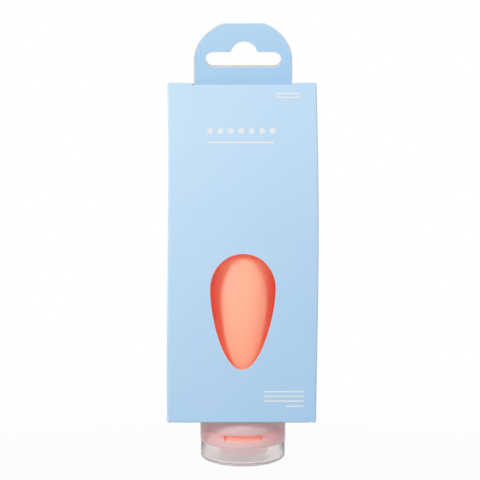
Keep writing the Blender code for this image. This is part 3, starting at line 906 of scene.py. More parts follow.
@dataclass
class Blank:
    """A board piece before it is folded: its outlines, and the lattice its faces follow."""

    outlines: list[Outline]
    columns: list[float]
    rows: list[float]
    thickness: float = 0.0005
    rub_width: float = 0.00035
    bevel: float = 0.00014
    bevel_segments: int = 2
    weld: float = 1e-7

    def lattice(self) -> tuple[list[Vector], list[tuple[int, int]]]:
        """Lay the lattice inside the outlines.

        Returns:
            The points and lines that the triangles must follow.
        """
        points: list[Vector] = []
        edges: list[tuple[int, int]] = []
        for outline in self.outlines:
            for ring in (outline, inset(outline, self.rub_width)):
                first = len(points)
                points += [Vector(point) for point in ring]
                count = len(ring)
                edges += [(first + k, first + (k + 1) % count) for k in range(count)]
        bounds = np.array([point for outline in self.outlines for point in outline])
        (left, low), (right, high) = bounds.min(axis=0), bounds.max(axis=0)
        columns = [left] + [u for u in self.columns if left < u < right] + [right]
        rows = [low] + [v for v in self.rows if low < v < high] + [high]
        first = len(points)
        points += [Vector((u, v)) for u in columns for v in rows]
        height = len(rows)
        for i in range(len(columns)):
            edges += [(first + i * height + j, first + i * height + j + 1) for j in range(height - 1)]
        return points, edges

    def inside(self, places: np.ndarray) -> np.ndarray:
        """Whether each place is on the board: within an odd number of the outlines.

        Args:
            places: flat coordinates.

        Returns:
            True for each place on the board.
        """
        crossings = np.zeros(len(places), dtype=int)
        for outline in self.outlines:
            start = np.array(outline)
            end = np.roll(start, -1, axis=0)
            for (x1, y1), (x2, y2) in zip(start, end):
                spans = (y1 > places[:, 1]) != (y2 > places[:, 1])
                if not spans.any():
                    continue
                meet = x1 + (places[:, 1] - y1) * (x2 - x1) / (y2 - y1)
                crossings += spans & (places[:, 0] < meet)
        return crossings % 2 == 1

    def edge_share(self, places: np.ndarray) -> np.ndarray:
        """How close each place is to a cut edge.

        Args:
            places: flat coordinates.

        Returns:
            1 on an edge, 0 from the rub's width away.
        """
        nearest = np.full(len(places), np.inf)
        for outline in self.outlines:
            start = np.array(outline)
            end = np.roll(start, -1, axis=0)
            for first, last in zip(start, end):
                side = last - first
                along = np.clip(((places - first) @ side) / max(side @ side, TINY), 0.0, 1.0)
                away = places - first - along[:, None] * side
                nearest = np.minimum(nearest, (away * away).sum(axis=1))
        return 1.0 - np.clip(np.sqrt(nearest) / self.rub_width, 0.0, 1.0)

    def soften(self, thing: Thing) -> None:
        """Take the sharpness off a sheet's edges.

        Args:
            thing: the sheet.
        """
        soften = thing.modifiers.new("soften", "BEVEL")
        soften.width = self.bevel
        soften.segments = self.bevel_segments
        soften.material = Layer.CUT.value
        soften.limit_method = "ANGLE"
        soften.angle_limit = BOARD_SHARP_ANGLE
        soften.harden_normals = True
        soften.use_clamp_overlap = True

    def made(
        self,
        name: str,
        place: Callable[[np.ndarray, np.ndarray, float], np.ndarray],
        bent: Callable[[np.ndarray, np.ndarray], np.ndarray],
        finishes: Finishes,
    ) -> Thing:
        """Fold the blank.

        Args:
            name: the piece's name.
            place: the place of each point, from both flat coordinates and the height over the middle.
            bent: how much each point lies on a fold, from the flat coordinates.
            finishes: the materials.

        Returns:
            The piece, with its layers, its cut edge and the amount of rub at each point.
        """
        points, edges = self.lattice()
        verts, _, faces, _, _, _ = delaunay_2d_cdt(points, edges, [], 0, self.weld)
        flat = np.array([tuple(vert) for vert in verts])
        triangles = np.array([tuple(face) for face in faces])
        triangles = triangles[self.inside(flat[triangles].mean(axis=1))]
        used, triangles = np.unique(triangles, return_inverse=True)
        triangles = triangles.reshape(-1, 3)
        flat = flat[used]
        u, v = flat[:, 0], flat[:, 1]
        top = place(u, v, self.thickness / 2)
        low = place(u, v, -self.thickness / 2)
        corner = top[triangles]
        facing = np.cross(corner[:, 1] - corner[:, 0], corner[:, 2] - corner[:, 0])
        wrong = (facing * (top - low)[triangles[:, 0]]).sum(axis=1) < 0
        triangles[wrong] = triangles[wrong][:, ::-1]
        sides = {(int(a), int(b)) for t in triangles for a, b in zip(t, np.roll(t, -1))}
        rims = [(a, b) for a, b in sides if (b, a) not in sides]
        count = len(flat)
        polygons = [tuple(int(k) for k in t) for t in triangles]
        polygons += [tuple(int(k) + count for k in t[::-1]) for t in triangles]
        polygons += [(b, a, a + count, b + count) for a, b in sorted(rims)]
        mesh = bpy.data.meshes.new(name)
        mesh.from_pydata(np.vstack((top, low)).tolist(), [], polygons)
        faces_each = len(triangles)
        layers = [Layer.PRINTED.value] * faces_each + [Layer.INSIDE.value] * faces_each
        layers += [Layer.CUT.value] * len(rims)
        mesh.polygons.foreach_set("material_index", layers)
        rub = np.maximum(self.edge_share(flat), bent(u, v))
        held = mesh.attributes.new("rub", "FLOAT", "POINT")
        held.data.foreach_set("value", np.concatenate((rub, rub)).astype(np.float32))
        for material in finishes.board():
            mesh.materials.append(material)
        thing = link(name, mesh)
        shade(thing, BOARD_SHARP_ANGLE)
        self.soften(thing)
        return plain(thing)


def wound(outline: Outline, clockwise: bool = False) -> Outline:
    """Give an outline a direction: counterclockwise for an edge, clockwise for a hole."""
    area = sum(x1 * y2 - x2 * y1 for (x1, y1), (x2, y2) in zip(outline, outline[1:] + outline[:1]))
    return outline[::-1] if (area < 0) != clockwise else outline


def mirrored(right: Outline) -> Outline:
    """The same points on the other side of the middle, in the reverse order."""
    return [(-x, y) for x, y in reversed(right)]


def eased(share: np.ndarray) -> np.ndarray:
    """Smooth a share between 0 and 1 at both ends."""
    held = np.clip(share, 0.0, 1.0)
    return held * held * (3.0 - 2.0 * held)


@dataclass
class Window:
    """The carton's teardrop opening."""

    half_width: float = 0.01376
    top: float = 0.09123
    widest: float = 0.0764
    tip: float = 0.04222
    round_handle: float = 0.5523
    flank_handle: float = 0.332
    tip_handle: float = 0.588
    steps: int = 40

    def curve(self, handles: Sequence[Point2]) -> Outline:
        """A cubic stretch.

        Args:
            handles: its first point, its two handles and its last point.

        Returns:
            The points along it.
        """
        a, b, c, d = (np.array(point) for point in handles)
        shares = np.linspace(0.0, 1.0, self.steps + 1)
        return [
            tuple(a * (1 - t) ** 3 + b * 3 * t * (1 - t) ** 2 + c * 3 * t * t * (1 - t) + d * t**3)
            for t in shares
        ]

    def outline(self) -> Outline:
        """The whole opening.

        Returns:
            Its points, as x and height.
        """
        half, rise, fall = self.half_width, self.top - self.widest, self.widest - self.tip
        crown, side, tip = (0.0, self.top), (half, self.widest), (0.0, self.tip)
        crown_handle = (self.round_handle * half, self.top)
        upper_handle = (half, self.widest + self.round_handle * rise)
        lower_handle = (half, self.widest - self.flank_handle * fall)
        end_handle = (self.tip_handle * half, self.tip)
        right = self.curve([crown, crown_handle, upper_handle, side])
        right += self.curve([side, lower_handle, end_handle, tip])[1:]
        return right + mirrored(right[1:-1])


@dataclass
class EuroSlot:
    """The long hanging slot with a round hump in the middle of its top."""

    low: float = 0.17035
    high: float = 0.17684
    half_width: float = 0.0160
    hump_radius: float = 0.0056
    hump_centre: float = 0.17570
    hump_offset: float = 0.0003
    offset: float = 0.00012
    fillet: float = 0.0010
    end_steps: int = 20
    fillet_steps: int = 8

    def outline(self, shift: float = 0.0) -> Outline:
        """The slot, moved up by a shift.

        Args:
            shift: how far up it moves.

        Returns:
            Its points, as x and height.
        """
        end = (self.high - self.low) / 2
        level = self.high + self.fillet
        reach = self.hump_radius + self.fillet
        across = math.sqrt(reach**2 - (level - self.hump_centre) ** 2)
        meet = math.atan2(level - self.hump_centre, across)
        side = arc((self.half_width - end, self.low + end), end, -QUARTER, QUARTER, self.end_steps)
        hump = arc((across, level), self.fillet, -QUARTER, meet - math.pi, self.fillet_steps)
        hump += arc((0.0, self.hump_centre), self.hump_radius, meet, QUARTER, self.end_steps)[1:]
        middle = [(x + self.hump_offset, height) for x, height in hump + mirrored(hump[:-1])]
        return [(x + self.offset, height + shift) for x, height in side + middle + mirrored(side)]


@dataclass(frozen=True)
class HemSizes:
    """The strips folded up inside the front and back panels' bottom edges."""

    fold: float = 0.0004
    end: float = 0.0278
    half: float = 0.0302
    taper: float = 0.0004
    corner: float = 0.0008
    chords: int = 10
    rub: float = 0.12

    def corners(self, middle: float, raw: float, foot: float) -> list[Point3]:
        """The hem's outline on the flat sheet.

        Args:
            middle: the middle of its panel.
            raw: where the hem leaves the panel.
            foot: its free edge.

        Returns:
            Its four corners, each with a fillet radius.
        """
        low, high = middle - self.half, middle + self.half
        side = [(low, raw, 0.0), (low + self.taper, foot, self.corner)]
        return side + [(high - self.taper, foot, self.corner), (high, raw, 0.0)]


@dataclass(frozen=True)
class GlueSizes:
    """The tapered flap that is glued inside the back panel."""

    width: float = 0.0120
    low: Span = (0.0288, 0.0328)
    high: Span = (0.1463, 0.1503)
    corner: float = 0.0015


@dataclass(frozen=True)
class NotchSizes:
    """The slanted notches beside the hang tab and the small shoulders at the front corners."""

    half: Span = (0.0217, 0.0209)
    depth: float = 0.0010
    shoulder: float = 0.0017
    drop: float = 0.0002
    corner: float = 0.0002
    shoulder_corner: float = 0.0003
    seam_corner: float = 0.0004


@dataclass(frozen=True)
class TabSizes:
    """The hang tab, folded over at its flat top."""

    base: float = 0.1622
    top: float = 0.1889
    fold: float = 0.00027
    half: float = 0.02078
    spring: float = 0.1733
    rises: Span = (0.0174, 0.0170)
    step: float = 0.0003
    slot_shifts: Span = (-0.0002, 0.0008)
    arch_points: int = 40
    columns: int = 17
    lean: float = 0.00045
    lean_top: float = 0.1643
    lean_height: float = 0.0013


@dataclass(frozen=True)
class ClosureSizes:
    """The top flap with its tuck tongue."""

    level: float = 0.16335
    root: float = -0.0214
    crease: float = 0.02105
    fold: float = 0.0005
    lean: float = 0.1449
    tongue: float = 0.0115
    tongue_half: float = 0.0296
    tongue_root_half: float = 0.0300
    tongue_corner: float = 0.0060
    notch_half: float = 0.02108
    notch_y: float = -0.0206
    root_half: float = 0.0308
    shoulder_y: float = -0.0195
    corner: float = 0.0003
    sharp_corner: float = 0.0004
    corner_share: float = 0.3
    taper_share: float = 0.5
    corner_steps: int = 10
    columns: int = 22


@dataclass(frozen=True)
class DustSizes:
    """A dust flap, for the left side."""

    fold: float = 0.00035
    level: float = 0.16255
    reach: float = 0.0215
    root: Span = (-0.01975, 0.01995)
    tip: Span = (0.00135, 0.0142)
    corner: float = 0.0025


@dataclass(frozen=True)
class CradleSizes:
    """A bottom flap with a round edge, for the left side."""

    fold: float = 0.0004
    level: float = 0.02005
    reach: float = 0.014
    rim: float = 0.0209
    half: float = 0.0180
    rim_steps: int = 40


@dataclass
class Carton:
    """The folded board carton, with its hang tab, window, top and cradle flaps."""

    finishes: Finishes
    half_width: float = 0.0317
    bottom: float = 0.0198
    top: float = 0.1636
    half_board: float = 0.00025
    middle_x: float = 0.03145
    middle_y: float = 0.02195
    inner_y: float = 0.02115
    seam_x: float = 0.0314
    side_top: float = 0.1620
    side_bottom: float = 0.0205
    raw_rise: float = 0.0001
    corner: float = 0.00055
    flat_step: float = 0.003
    fine_step: float = 0.002
    chords: int = 8
    flap_chords: int = 6
    flap_rows: int = 15
    crease_rub: float = 0.16
    flap_rub: float = 0.2
    bow_left: tuple[float, ...] = (0.00533, -0.00888, 0.00342, -0.00035)
    bow_right: tuple[float, ...] = (0.00658, -0.01018, -0.00024, 0.00368, -0.00056)
    bulge_front: float = 0.0009
    soft_edge: float = 0.0024
    soft_drop: float = 0.00022
    window: Window = field(default_factory=Window)
    slot: EuroSlot = field(default_factory=EuroSlot)
    hems: HemSizes = HemSizes()
    glue: GlueSizes = GlueSizes()
    notch: NotchSizes = NotchSizes()
    hanger: TabSizes = TabSizes()
    closure: ClosureSizes = ClosureSizes()
    dust: DustSizes = DustSizes()
    cradle: CradleSizes = CradleSizes()

    def warped(self, places: np.ndarray) -> np.ndarray:
        """Give the sleeve the slight bow that light board takes when it is glued and packed.

        Args:
            places: points of the straight sleeve.

        Returns:
            The same points on the bowed one.
        """
        x, y, z = places.T
        share = np.clip((self.top - z) / (self.top - self.bottom), 0.0, 1.0)
        left, right = np.polyval(self.bow_left, share), np.polyval(self.bow_right, share)
        across = np.clip(x / (2 * self.half_width) + 0.5, 0.0, 1.0)
        middle = np.cos(np.clip(x / self.half_width, -1.0, 1.0) * QUARTER) * np.sin(math.pi * share)
        forward = np.clip(-y / self.middle_y, -1.0, 1.0) ** 3
        soft = np.clip((x - self.half_width + self.soft_edge) / self.soft_edge, 0.0, 1.0) ** 2
        moved = places.copy()
        moved[:, 0] += left + (right - left) * across
        moved[:, 1] -= forward * (self.bulge_front * middle - self.soft_drop * soft * (forward > 0))
        return moved

    def plan(self) -> FoldPath:
        """The sleeve seen from above.

        Returns:
            The path from the back panel's free edge round to the glue flap.
        """
        quarter = Run(self.corner * QUARTER, -QUARTER)
        across = 2 * (self.middle_x - self.corner)
        back = self.middle_x - self.corner + self.seam_x
        side = 2 * (self.middle_y - self.corner)
        left = self.middle_y - self.corner + self.inner_y - self.corner
        runs = [Run(back), quarter, Run(side), quarter, Run(across), quarter, Run(left), quarter]
        return FoldPath((-self.seam_x, self.middle_y), 0.0, runs + [Run(self.glue.width)])

    def hem(self) -> FoldPath:
        """A panel seen from the side.

        Returns:
            The path up the hem, round the bottom fold and up the panel.
        """
        level = self.bottom + self.half_board + self.hems.fold
        rise = self.hems.end - level
        fold = math.pi * self.hems.fold
        runs = [Run(rise), Run(fold, math.pi), Run(self.top - level)]
        return FoldPath((-2 * self.hems.fold, self.hems.end), -QUARTER, runs, level - fold - rise)

    def sleeve_outline(self, marks: Sequence[float], foot: float) -> Outline:
        """The cut shape of the four walls, the glue flap and both hems, laid flat.

        Args:
            marks: where each run of the plan starts.
            foot: the hems' free edge on the flat sheet.

        Returns:
            The outline, along the plan and up the walls.
        """
        c1, c2, c3, c4 = ((marks[k] + marks[k + 1]) / 2 for k in (1, 3, 5, 7))
        raw, low, high, top = self.bottom + self.raw_rise, self.side_bottom, self.side_top, self.top
        front, end = marks[4] + self.middle_x - self.corner, marks[9]
        glue, notch = self.glue, self.notch
        wide, narrow = notch.half
        step, nick, ease = notch.shoulder, notch.corner, notch.shoulder_corner
        corners = [(0.0, raw, 0.0)] + self.hems.corners(self.seam_x, raw, foot) + [(c1, raw, 0.0)]
        corners += [(c1, low, 0.0), (c2, low, 0.0), (c2, raw, 0.0)]
        corners += self.hems.corners(front, raw, foot) + [(c3, raw, 0.0), (c3, low, 0.0), (c4, low, 0.0)]
        corners += [(c4, glue.low[0], 0.0), (end, glue.low[1], glue.corner)]
        corners += [(end, glue.high[0], glue.corner), (c4, glue.high[1], 0.0), (c4, high, 0.0)]
        corners += [(c3 + step, high, nick), (c3 + step, top - notch.drop, ease), (c3, top, 0.0)]
        corners += [(front + wide, top, nick), (front + narrow, top - notch.depth, nick)]
        corners += [(front - narrow, top - notch.depth, nick), (front - wide, top, nick), (c2, top, 0.0)]
        corners += [(c2 - step, top - notch.drop, ease), (c2 - step, high, nick), (c1, high, 0.0)]
        corners += [(c1, top, 0.0), (0.0, top, notch.seam_corner)]
        return rounded(corners, closed=True)

    def sleeve(self) -> Thing:
        """The walls, with the window, the glue flap and the folded hems, as one folded sheet.

        Returns:
            The folded sleeve.
        """
        plan, hem = self.plan(), self.hem()
        marks = plan.starts()
        front = marks[4] + self.middle_x - self.corner
        hole = [(front - x, height) for x, height in self.window.outline()]
        outline = spaced(self.sleeve_outline(marks, hem.origin), self.flat_step)
        columns = plan.stations(self.flat_step, self.chords)
        rows = hem.stations(self.flat_step, self.hems.chords)
        blank = Blank([wound(outline), wound(hole, clockwise=True)], columns, rows)

        def place(u: np.ndarray, v: np.ndarray, rise: float) -> np.ndarray:
            """Fold the sleeve.

            Args:
                u: how far along the plan.
                v: how far up a wall.
                rise: the height over the sheet's middle.

            Returns:
                The places.
            """
            middle, out = plan.at(u)
            side, inward = hem.at(v)
            away = side[:, 0] - rise * inward[:, 0]
            flat = middle + out * away[:, None]
            return self.warped(np.column_stack((flat, side[:, 1] - rise * inward[:, 1])))

        def bent(u: np.ndarray, v: np.ndarray) -> np.ndarray:
            """How much the corners and the bottom folds are rubbed."""
            return np.maximum(self.crease_rub * plan.bent(u), self.hems.rub * hem.bent(v))

        return blank.made("carton_sleeve", place, bent, self.finishes)

    def arch(self, rise: float, crown: float, bend: float) -> Outline:
        """One side of the hang tab, laid flat: up the front layer and down the rear one.

        Args:
            rise: the arch's height over its springing.
            crown: the height at which the tab folds.
            bend: the length of the fold.

        Returns:
            The points, as x and the distance up the sheet.
        """
        tab = self.hanger
        half, over, near = tab.half - tab.step, 2 * crown + bend, rise - tab.step
        near_angles = np.linspace(0.0, math.asin((crown - tab.spring) / near), tab.arch_points)
        far_angles = np.linspace(math.asin((crown - tab.spring) / rise), 0.0, tab.arch_points)
        front = [(half, tab.base)]
        front += [(half * math.cos(a), tab.spring + near * math.sin(a)) for a in near_angles]
        rear = [(tab.half * math.cos(a), over - tab.spring - rise * math.sin(a)) for a in far_angles]
        fold = (front[-1][0] - tab.step, crown + bend / 2)
        return front + [fold] + rear + [(tab.half, over - tab.base)]

    def tab(self) -> Thing:
        """The hang tab: two layers folded over at the flat top, both cut by the euro slot.

        Returns:
            The folded tab.
        """
        tab = self.hanger
        crown, bend = tab.top - self.half_board - tab.fold, math.pi * tab.fold
        layer = Run(crown - tab.base)
        path = FoldPath((-self.middle_y, tab.base), QUARTER, [layer, Run(bend, -math.pi), layer], tab.base)
        right, left = (self.arch(rise, crown, bend) for rise in tab.rises)
        near, far = (self.slot.outline(shift) for shift in tab.slot_shifts)
        far = [(x, 2 * crown + bend - height) for x, height in far]
        edge = wound(spaced(right + mirrored(left), self.fine_step))
        columns = list(np.linspace(-tab.half, tab.half, tab.columns))
        rows = path.stations(self.fine_step, self.chords)
        blank = Blank([edge, wound(near, clockwise=True), wound(far, clockwise=True)], columns, rows)

        def place(u: np.ndarray, v: np.ndarray, rise: float) -> np.ndarray:
            """Fold the tab, with the slight lean of its base.

            Args:
                u: how far across.
                v: how far up the sheet.
                rise: the height over the sheet's middle.

            Returns:
                The places.
            """
            y, z = path.raised(v, rise).T
            return np.column_stack((u, y + tab.lean * eased((tab.lean_top - z) / tab.lean_height), z))

        piece = blank.made("hang_tab", place, lambda _, v: self.flap_rub * path.bent(v), self.finishes)
        # the tab's print carries painted shade, darkest at its base
        piece.data.materials[Layer.PRINTED.value] = self.finishes.printed_tab
        return piece

    def lid_flap(self) -> Thing:
        """The top flap with its tuck tongue, bent in at the back.

        Returns:
            The folded flap.
        """
        top = self.closure
        lean = QUARTER + top.lean
        fold = top.fold * lean
        flat_end = top.crease - top.fold
        end = flat_end + fold + top.tongue
        runs = [Run(flat_end - top.root), Run(fold, -lean), Run(top.tongue)]
        path = FoldPath((top.root, top.level), 0.0, runs, top.root)
        corners = [(top.notch_half, top.notch_y, top.corner), (top.notch_half, top.root, 0.0)]
        corners += [(top.root_half, top.root, top.sharp_corner), (top.root_half, top.shoulder_y, top.corner)]
        corners += [(self.half_width, top.shoulder_y, top.corner)]
        corners += [(self.half_width, flat_end + fold * top.corner_share, top.sharp_corner)]
        corners += [(top.tongue_root_half, flat_end + fold * top.taper_share, 0.0)]
        corners += [(top.tongue_half, flat_end + fold, 0.0), (top.tongue_half, end, top.tongue_corner)]
        right = rounded(corners + [(0.0, end, 0.0)], steps=top.corner_steps)
        outline = wound(spaced(right[:-1] + mirrored(right[:-1]), self.flat_step))
        columns = list(np.linspace(-self.half_width, self.half_width, top.columns))
        blank = Blank([outline], columns, path.stations(self.flat_step, self.chords))
        return blank.made(
            "top_closure",
            lambda u, v, rise: self.warped(np.column_stack((u, path.raised(v, rise)))),
            lambda _, v: self.flap_rub * path.bent(v),
            self.finishes,
        )

    def side_flap(self, name: str, sign: int, path: FoldPath, edge: Outline, facing: float) -> Thing:
        """A flap on a side panel, left or right.

        Args:
            name: the piece's name.
            sign: -1 for the left side and 1 for the right.
            path: the left flap seen from the front, from its crease inwards.
            edge: the flap's free edges as x and y, for the left side.
            facing: 1 where the printed side is on the left of the path, and -1 where it isn't.

        Returns:
            The folded flap.
        """
        outline = [(path.origin, edge[0][1])] + edge + [(path.origin, edge[-1][1])]
        low = min(y for _, y in outline)
        high = max(y for _, y in outline)
        rows = list(np.linspace(low, high, self.flap_rows))
        columns = path.stations(self.fine_step, self.flap_chords)
        blank = Blank([wound(spaced(outline, self.fine_step))], columns, rows)

        def place(u: np.ndarray, v: np.ndarray, rise: float) -> np.ndarray:
            """Fold the flap.

            Args:
                u: how far in from the crease.
                v: how far back.
                rise: the height over the sheet's middle.

            Returns:
                The places.
            """
            x, z = path.raised(u, rise * facing).T
            return self.warped(np.column_stack((-sign * x, v, z)))

        return blank.made(name, place, lambda u, _: self.flap_rub * path.bent(u), self.finishes)

    def dust_flap(self, name: str, sign: int) -> Thing:
        """A dust flap under the top flap, with a slanted front edge and a tapered rear edge.

        Args:
            name: the piece's name.
            sign: -1 for the left side and 1 for the right.

        Returns:
            The folded flap.
        """
        dust, wall = self.dust, -self.middle_x
        bend, flat, tip = dust.fold * QUARTER, wall + dust.fold, wall + dust.reach
        runs = [Run(bend, -QUARTER), Run(dust.reach - dust.fold)]
        path = FoldPath((wall, dust.level - dust.fold), QUARTER, runs, flat - bend)
        front, back = dust.root
        corners = [(wall, front, 0.0), (flat, front, 0.0), (tip, dust.tip[0], dust.corner)]
        corners += [(tip, dust.tip[1], dust.corner), (flat, back, 0.0), (wall, back, 0.0)]
        return self.side_flap(name, sign, path, rounded(corners)[1:-1], facing=1.0)

    def cradle_flap(self, name: str, sign: int) -> Thing:
        """A bottom flap, whose round edge keeps the bottle in the middle of the sleeve.

        Args:
            name: the piece's name.
            sign: -1 for the left side and 1 for the right.

        Returns:
            The folded flap.
        """
        cradle, wall = self.cradle, -self.middle_x
        bend, flat = cradle.fold * QUARTER, wall + cradle.fold
        runs = [Run(bend, QUARTER), Run(cradle.reach)]
        path = FoldPath((wall, cradle.level + cradle.fold), -QUARTER, runs, flat - bend)
        reach = math.asin(cradle.half / cradle.rim)
        rim = arc((0.0, 0.0), cradle.rim, math.pi + reach, math.pi - reach, cradle.rim_steps)
        edge = [(flat, -cradle.half)] + rim + [(flat, cradle.half)]
        return self.side_flap(name, sign, path, edge, facing=-1.0)

    def build(self) -> None:
        """Make every board piece and seat it in the frame."""
        walls = ["front_panel", "back_panel", "left_side_panel", "right_side_panel"]
        walls += ["glue_flap", "front_hem", "back_hem"]
        dressed(self.sleeve(), "carton", walls)
        dressed(self.tab(), "carton", ["hang_tab_front", "hang_tab_rear"])
        dressed(self.lid_flap(), "top_flap", ["top_flap", "tuck_tongue"])
        for side, sign in (("left", -1), ("right", 1)):
            dust = self.dust_flap("dust_flap_board_" + side, sign)
            dressed(dust, "dust_" + side, ["dust_flap_" + side])
            cradle = self.cradle_flap("cradle_flap_board_" + side, sign)
            dressed(cradle, "bottom_" + side, ["bottom_flap_" + side])


class Growth(Wiring):
    """A Geometry Nodes tree with named inputs."""

    def __init__(self, name: str, sizes: dict[str, float | int]) -> None:
        """Start a tree.

        Args:
            name: the tree's name.
            sizes: its number inputs and their usual values; whole numbers make integer inputs.
        """
        super().__init__(bpy.data.node_groups.new(name, "GeometryNodeTree"))
        face = self.tree.interface
        face.new_socket("Geometry", in_out="INPUT", socket_type="NodeSocketGeometry")
        for key, value in sizes.items():
            kind = "NodeSocketInt" if isinstance(value, int) else "NodeSocketFloat"
            face.new_socket(key, in_out="INPUT", socket_type=kind).default_value = value
        face.new_socket("Material", in_out="INPUT", socket_type="NodeSocketMaterial")
        face.new_socket("Geometry", in_out="OUTPUT", socket_type="NodeSocketGeometry")
        self.inputs = self.tree.nodes.new("NodeGroupInput").outputs

    def step(self, kind: str, **sources: object) -> Socket:
        """Add a geometry node.

        Args:
            kind: the node's type, without the word that all geometry nodes start with.
            sources: its inputs, as for feed.

        Returns:
            Its first output.
        """
        return self.feed(self.tree.nodes.new("GeometryNode" + kind), **sources).outputs[0]

    def vector(self, x: object, y: object, z: object) -> Socket:
        """A vector made from sockets and numbers."""
        return self.feed(self.node("CombineXYZ"), X=x, Y=y, Z=z).outputs[0]

    def polar(self, radius: Socket, angle: Socket, height: Socket) -> Socket:
        """A place round the upright axis.

        Args:
            radius: its distance from the axis.
            angle: its angle, in radians.
            height: its height.

        Returns:
            The vector.
        """
        x, y = (self.math("MULTIPLY", radius, self.math(wave, angle)) for wave in ("COSINE", "SINE"))
        return self.vector(x, y, height)

    def close(self, geometry: Socket) -> Tree:
        """End the tree: realized, welded and with its material.

        Args:
            geometry: the geometry that the tree made.

        Returns:
            The tree.
        """
        real = self.step("RealizeInstances", Geometry=geometry)
        weld = self.step("MergeByDistance", Geometry=real, Distance=MERGE_DISTANCE)
        finish = self.step("SetMaterial", Geometry=weld, Material=self.inputs["Material"])
        self.tree.links.new(finish, self.tree.nodes.new("NodeGroupOutput").inputs[0])
        return self.tree


def turned_tree() -> Tree:
    """A tree that turns a profile of (radius, 0, height) points round the upright axis.

    Returns:
        The tree.
    """
    tree = Growth("turned", {"Turn Steps": TURN_STEPS})
    profile = tree.inputs["Geometry"]
    rows = tree.step("AttributeDomainSize", Geometry=profile)
    columns = tree.math("ADD", tree.inputs["Turn Steps"], 1.0)
    grid = tree.step("MeshGrid", Size_X=1.0, Size_Y=1.0, Vertices_X=columns, Vertices_Y=rows)
    place = tree.step("InputPosition")
    round_share, down_share, _ = tree.axes(place)
    last = tree.math("SUBTRACT", rows, 1.0)
    index = tree.math("ROUND", tree.math("MULTIPLY", tree.math("ADD", down_share, 0.5), last))
    sample = tree.tree.nodes.new("GeometryNodeSampleIndex")
    sample.data_type = "FLOAT_VECTOR"
    tree.feed(sample, Geometry=profile, Index=index, Value=place)
    radius, _, height = tree.axes(sample.outputs[0])
    angle = tree.math("MULTIPLY", tree.math("ADD", round_share, 0.5), 2 * math.pi)
    return tree.close(tree.step("SetPosition", Geometry=grid, Position=tree.polar(radius, angle, height)))


def thread_tree() -> Tree:
    """A tree that sweeps a round ridge along a right-hand helix, thin at both ends.

    Returns:
        The tree.
    """
    sizes = {"Radius": 0.0141, "Start": 0.0146, "Pitch": 0.003, "Turns": 1.5, "Phase": 0.0, "Ridge": 0.0008}
    sizes |= {"Taper": 14.0, "End Share": 0.35, "Points": 160, "Sides": 12}
    tree = Growth("thread", sizes)
    given = tree.inputs
    line = tree.step("MeshLine", Count=given["Points"])
    last = tree.math("SUBTRACT", given["Points"], 1.0)
    share = tree.math("DIVIDE", tree.step("InputIndex"), last)
    turns = tree.math("MULTIPLY", share, given["Turns"])
    angle = tree.math("ADD", tree.math("MULTIPLY", turns, 2 * math.pi), given["Phase"])
    height = tree.math("ADD", given["Start"], tree.math("MULTIPLY", turns, given["Pitch"]))
    helix = tree.step("SetPosition", Geometry=line, Position=tree.polar(given["Radius"], angle, height))
    away = tree.math("MINIMUM", share, tree.math("SUBTRACT", 1.0, share))
    swell = tree.math("ADD", tree.math("MULTIPLY", away, given["Taper"]), given["End Share"])
    curve = tree.step("MeshToCurve", Mesh=helix)
    curve = tree.step("SetCurveRadius", Curve=curve, Radius=tree.math("MINIMUM", swell, 1.0))
    section = tree.step("CurvePrimitiveCircle", Resolution=given["Sides"], Radius=given["Ridge"])
    return tree.close(tree.step("CurveToMesh", Curve=curve, Profile_Curve=section, Fill_Caps=True))


def bar_row_tree() -> Tree:
    """A tree that repeats a round-ended bar along a row, standing up in the front plane.

    Returns:
        The tree.
    """
    sizes = {"Start X": 0.0, "Start Z": 0.0, "Step X": 0.001, "Step Z": 0.0, "Width": 0.001, "Height": 0.001}
    sizes |= {"End Share": 0.499, "Count": 3, "End Chords": 6, "Finer": 4}
    tree = Growth("bar_row", sizes)
    given, index = tree.inputs, tree.step("InputIndex")
    x, z = (
        tree.math("ADD", given["Start " + axis], tree.math("MULTIPLY", index, given["Step " + axis]))
        for axis in "XZ"
    )
    line = tree.step("MeshLine", Count=given["Count"])
    row = tree.step("SetPosition", Geometry=line, Position=tree.vector(x, 0.0, z))
    bar = tree.step("CurvePrimitiveQuadrilateral", Width=given["Width"], Height=given["Height"])
    narrow = tree.math("MINIMUM", given["Width"], given["Height"])
    fillet = tree.tree.nodes.new("GeometryNodeFilletCurve")
    fillet.mode = "POLY"
    radius = tree.math("MULTIPLY", narrow, given["End Share"])
    tree.feed(fillet, Curve=bar, Count=given["End Chords"], Radius=radius)
    edge = tree.step("CurveToMesh", Curve=fillet.outputs[0])
    finer = tree.step("SubdivideMesh", Mesh=edge, Level=given["Finer"])
    face = tree.step("FillCurve", Curve=tree.step("MeshToCurve", Mesh=finer))
    upright = tree.step("Transform", Geometry=face, Rotation=(QUARTER, 0.0, 0.0))
    return tree.close(tree.step("InstanceOnPoints", Points=row, Instance=upright))


def tick_ring_tree() -> Tree:
    """A tree that sets small upright ticks round a ring, facing outwards.

    Returns:
        The tree.
    """
    sizes = {"Radius": 0.0177, "Level": 0.0125, "Depth": 0.0002, "Width": 0.0004, "Height": 0.0012}
    tree = Growth("tick_ring", sizes | {"Count": 24})
    given = tree.inputs
    ring = tree.step("MeshCircle", Vertices=given["Count"], Radius=given["Radius"])
    lifted = tree.step("SetPosition", Geometry=ring, Offset=tree.vector(0.0, 0.0, given["Level"]))
    tick = tree.step("MeshCube", Size=tree.vector(given["Depth"], given["Width"], given["Height"]))
    x, y, _ = tree.axes(tree.step("InputPosition"))
    turn = tree.vector(0.0, 0.0, tree.math("ARCTAN2", y, x))
    return tree.close(tree.step("InstanceOnPoints", Points=lifted, Instance=tick, Rotation=turn))


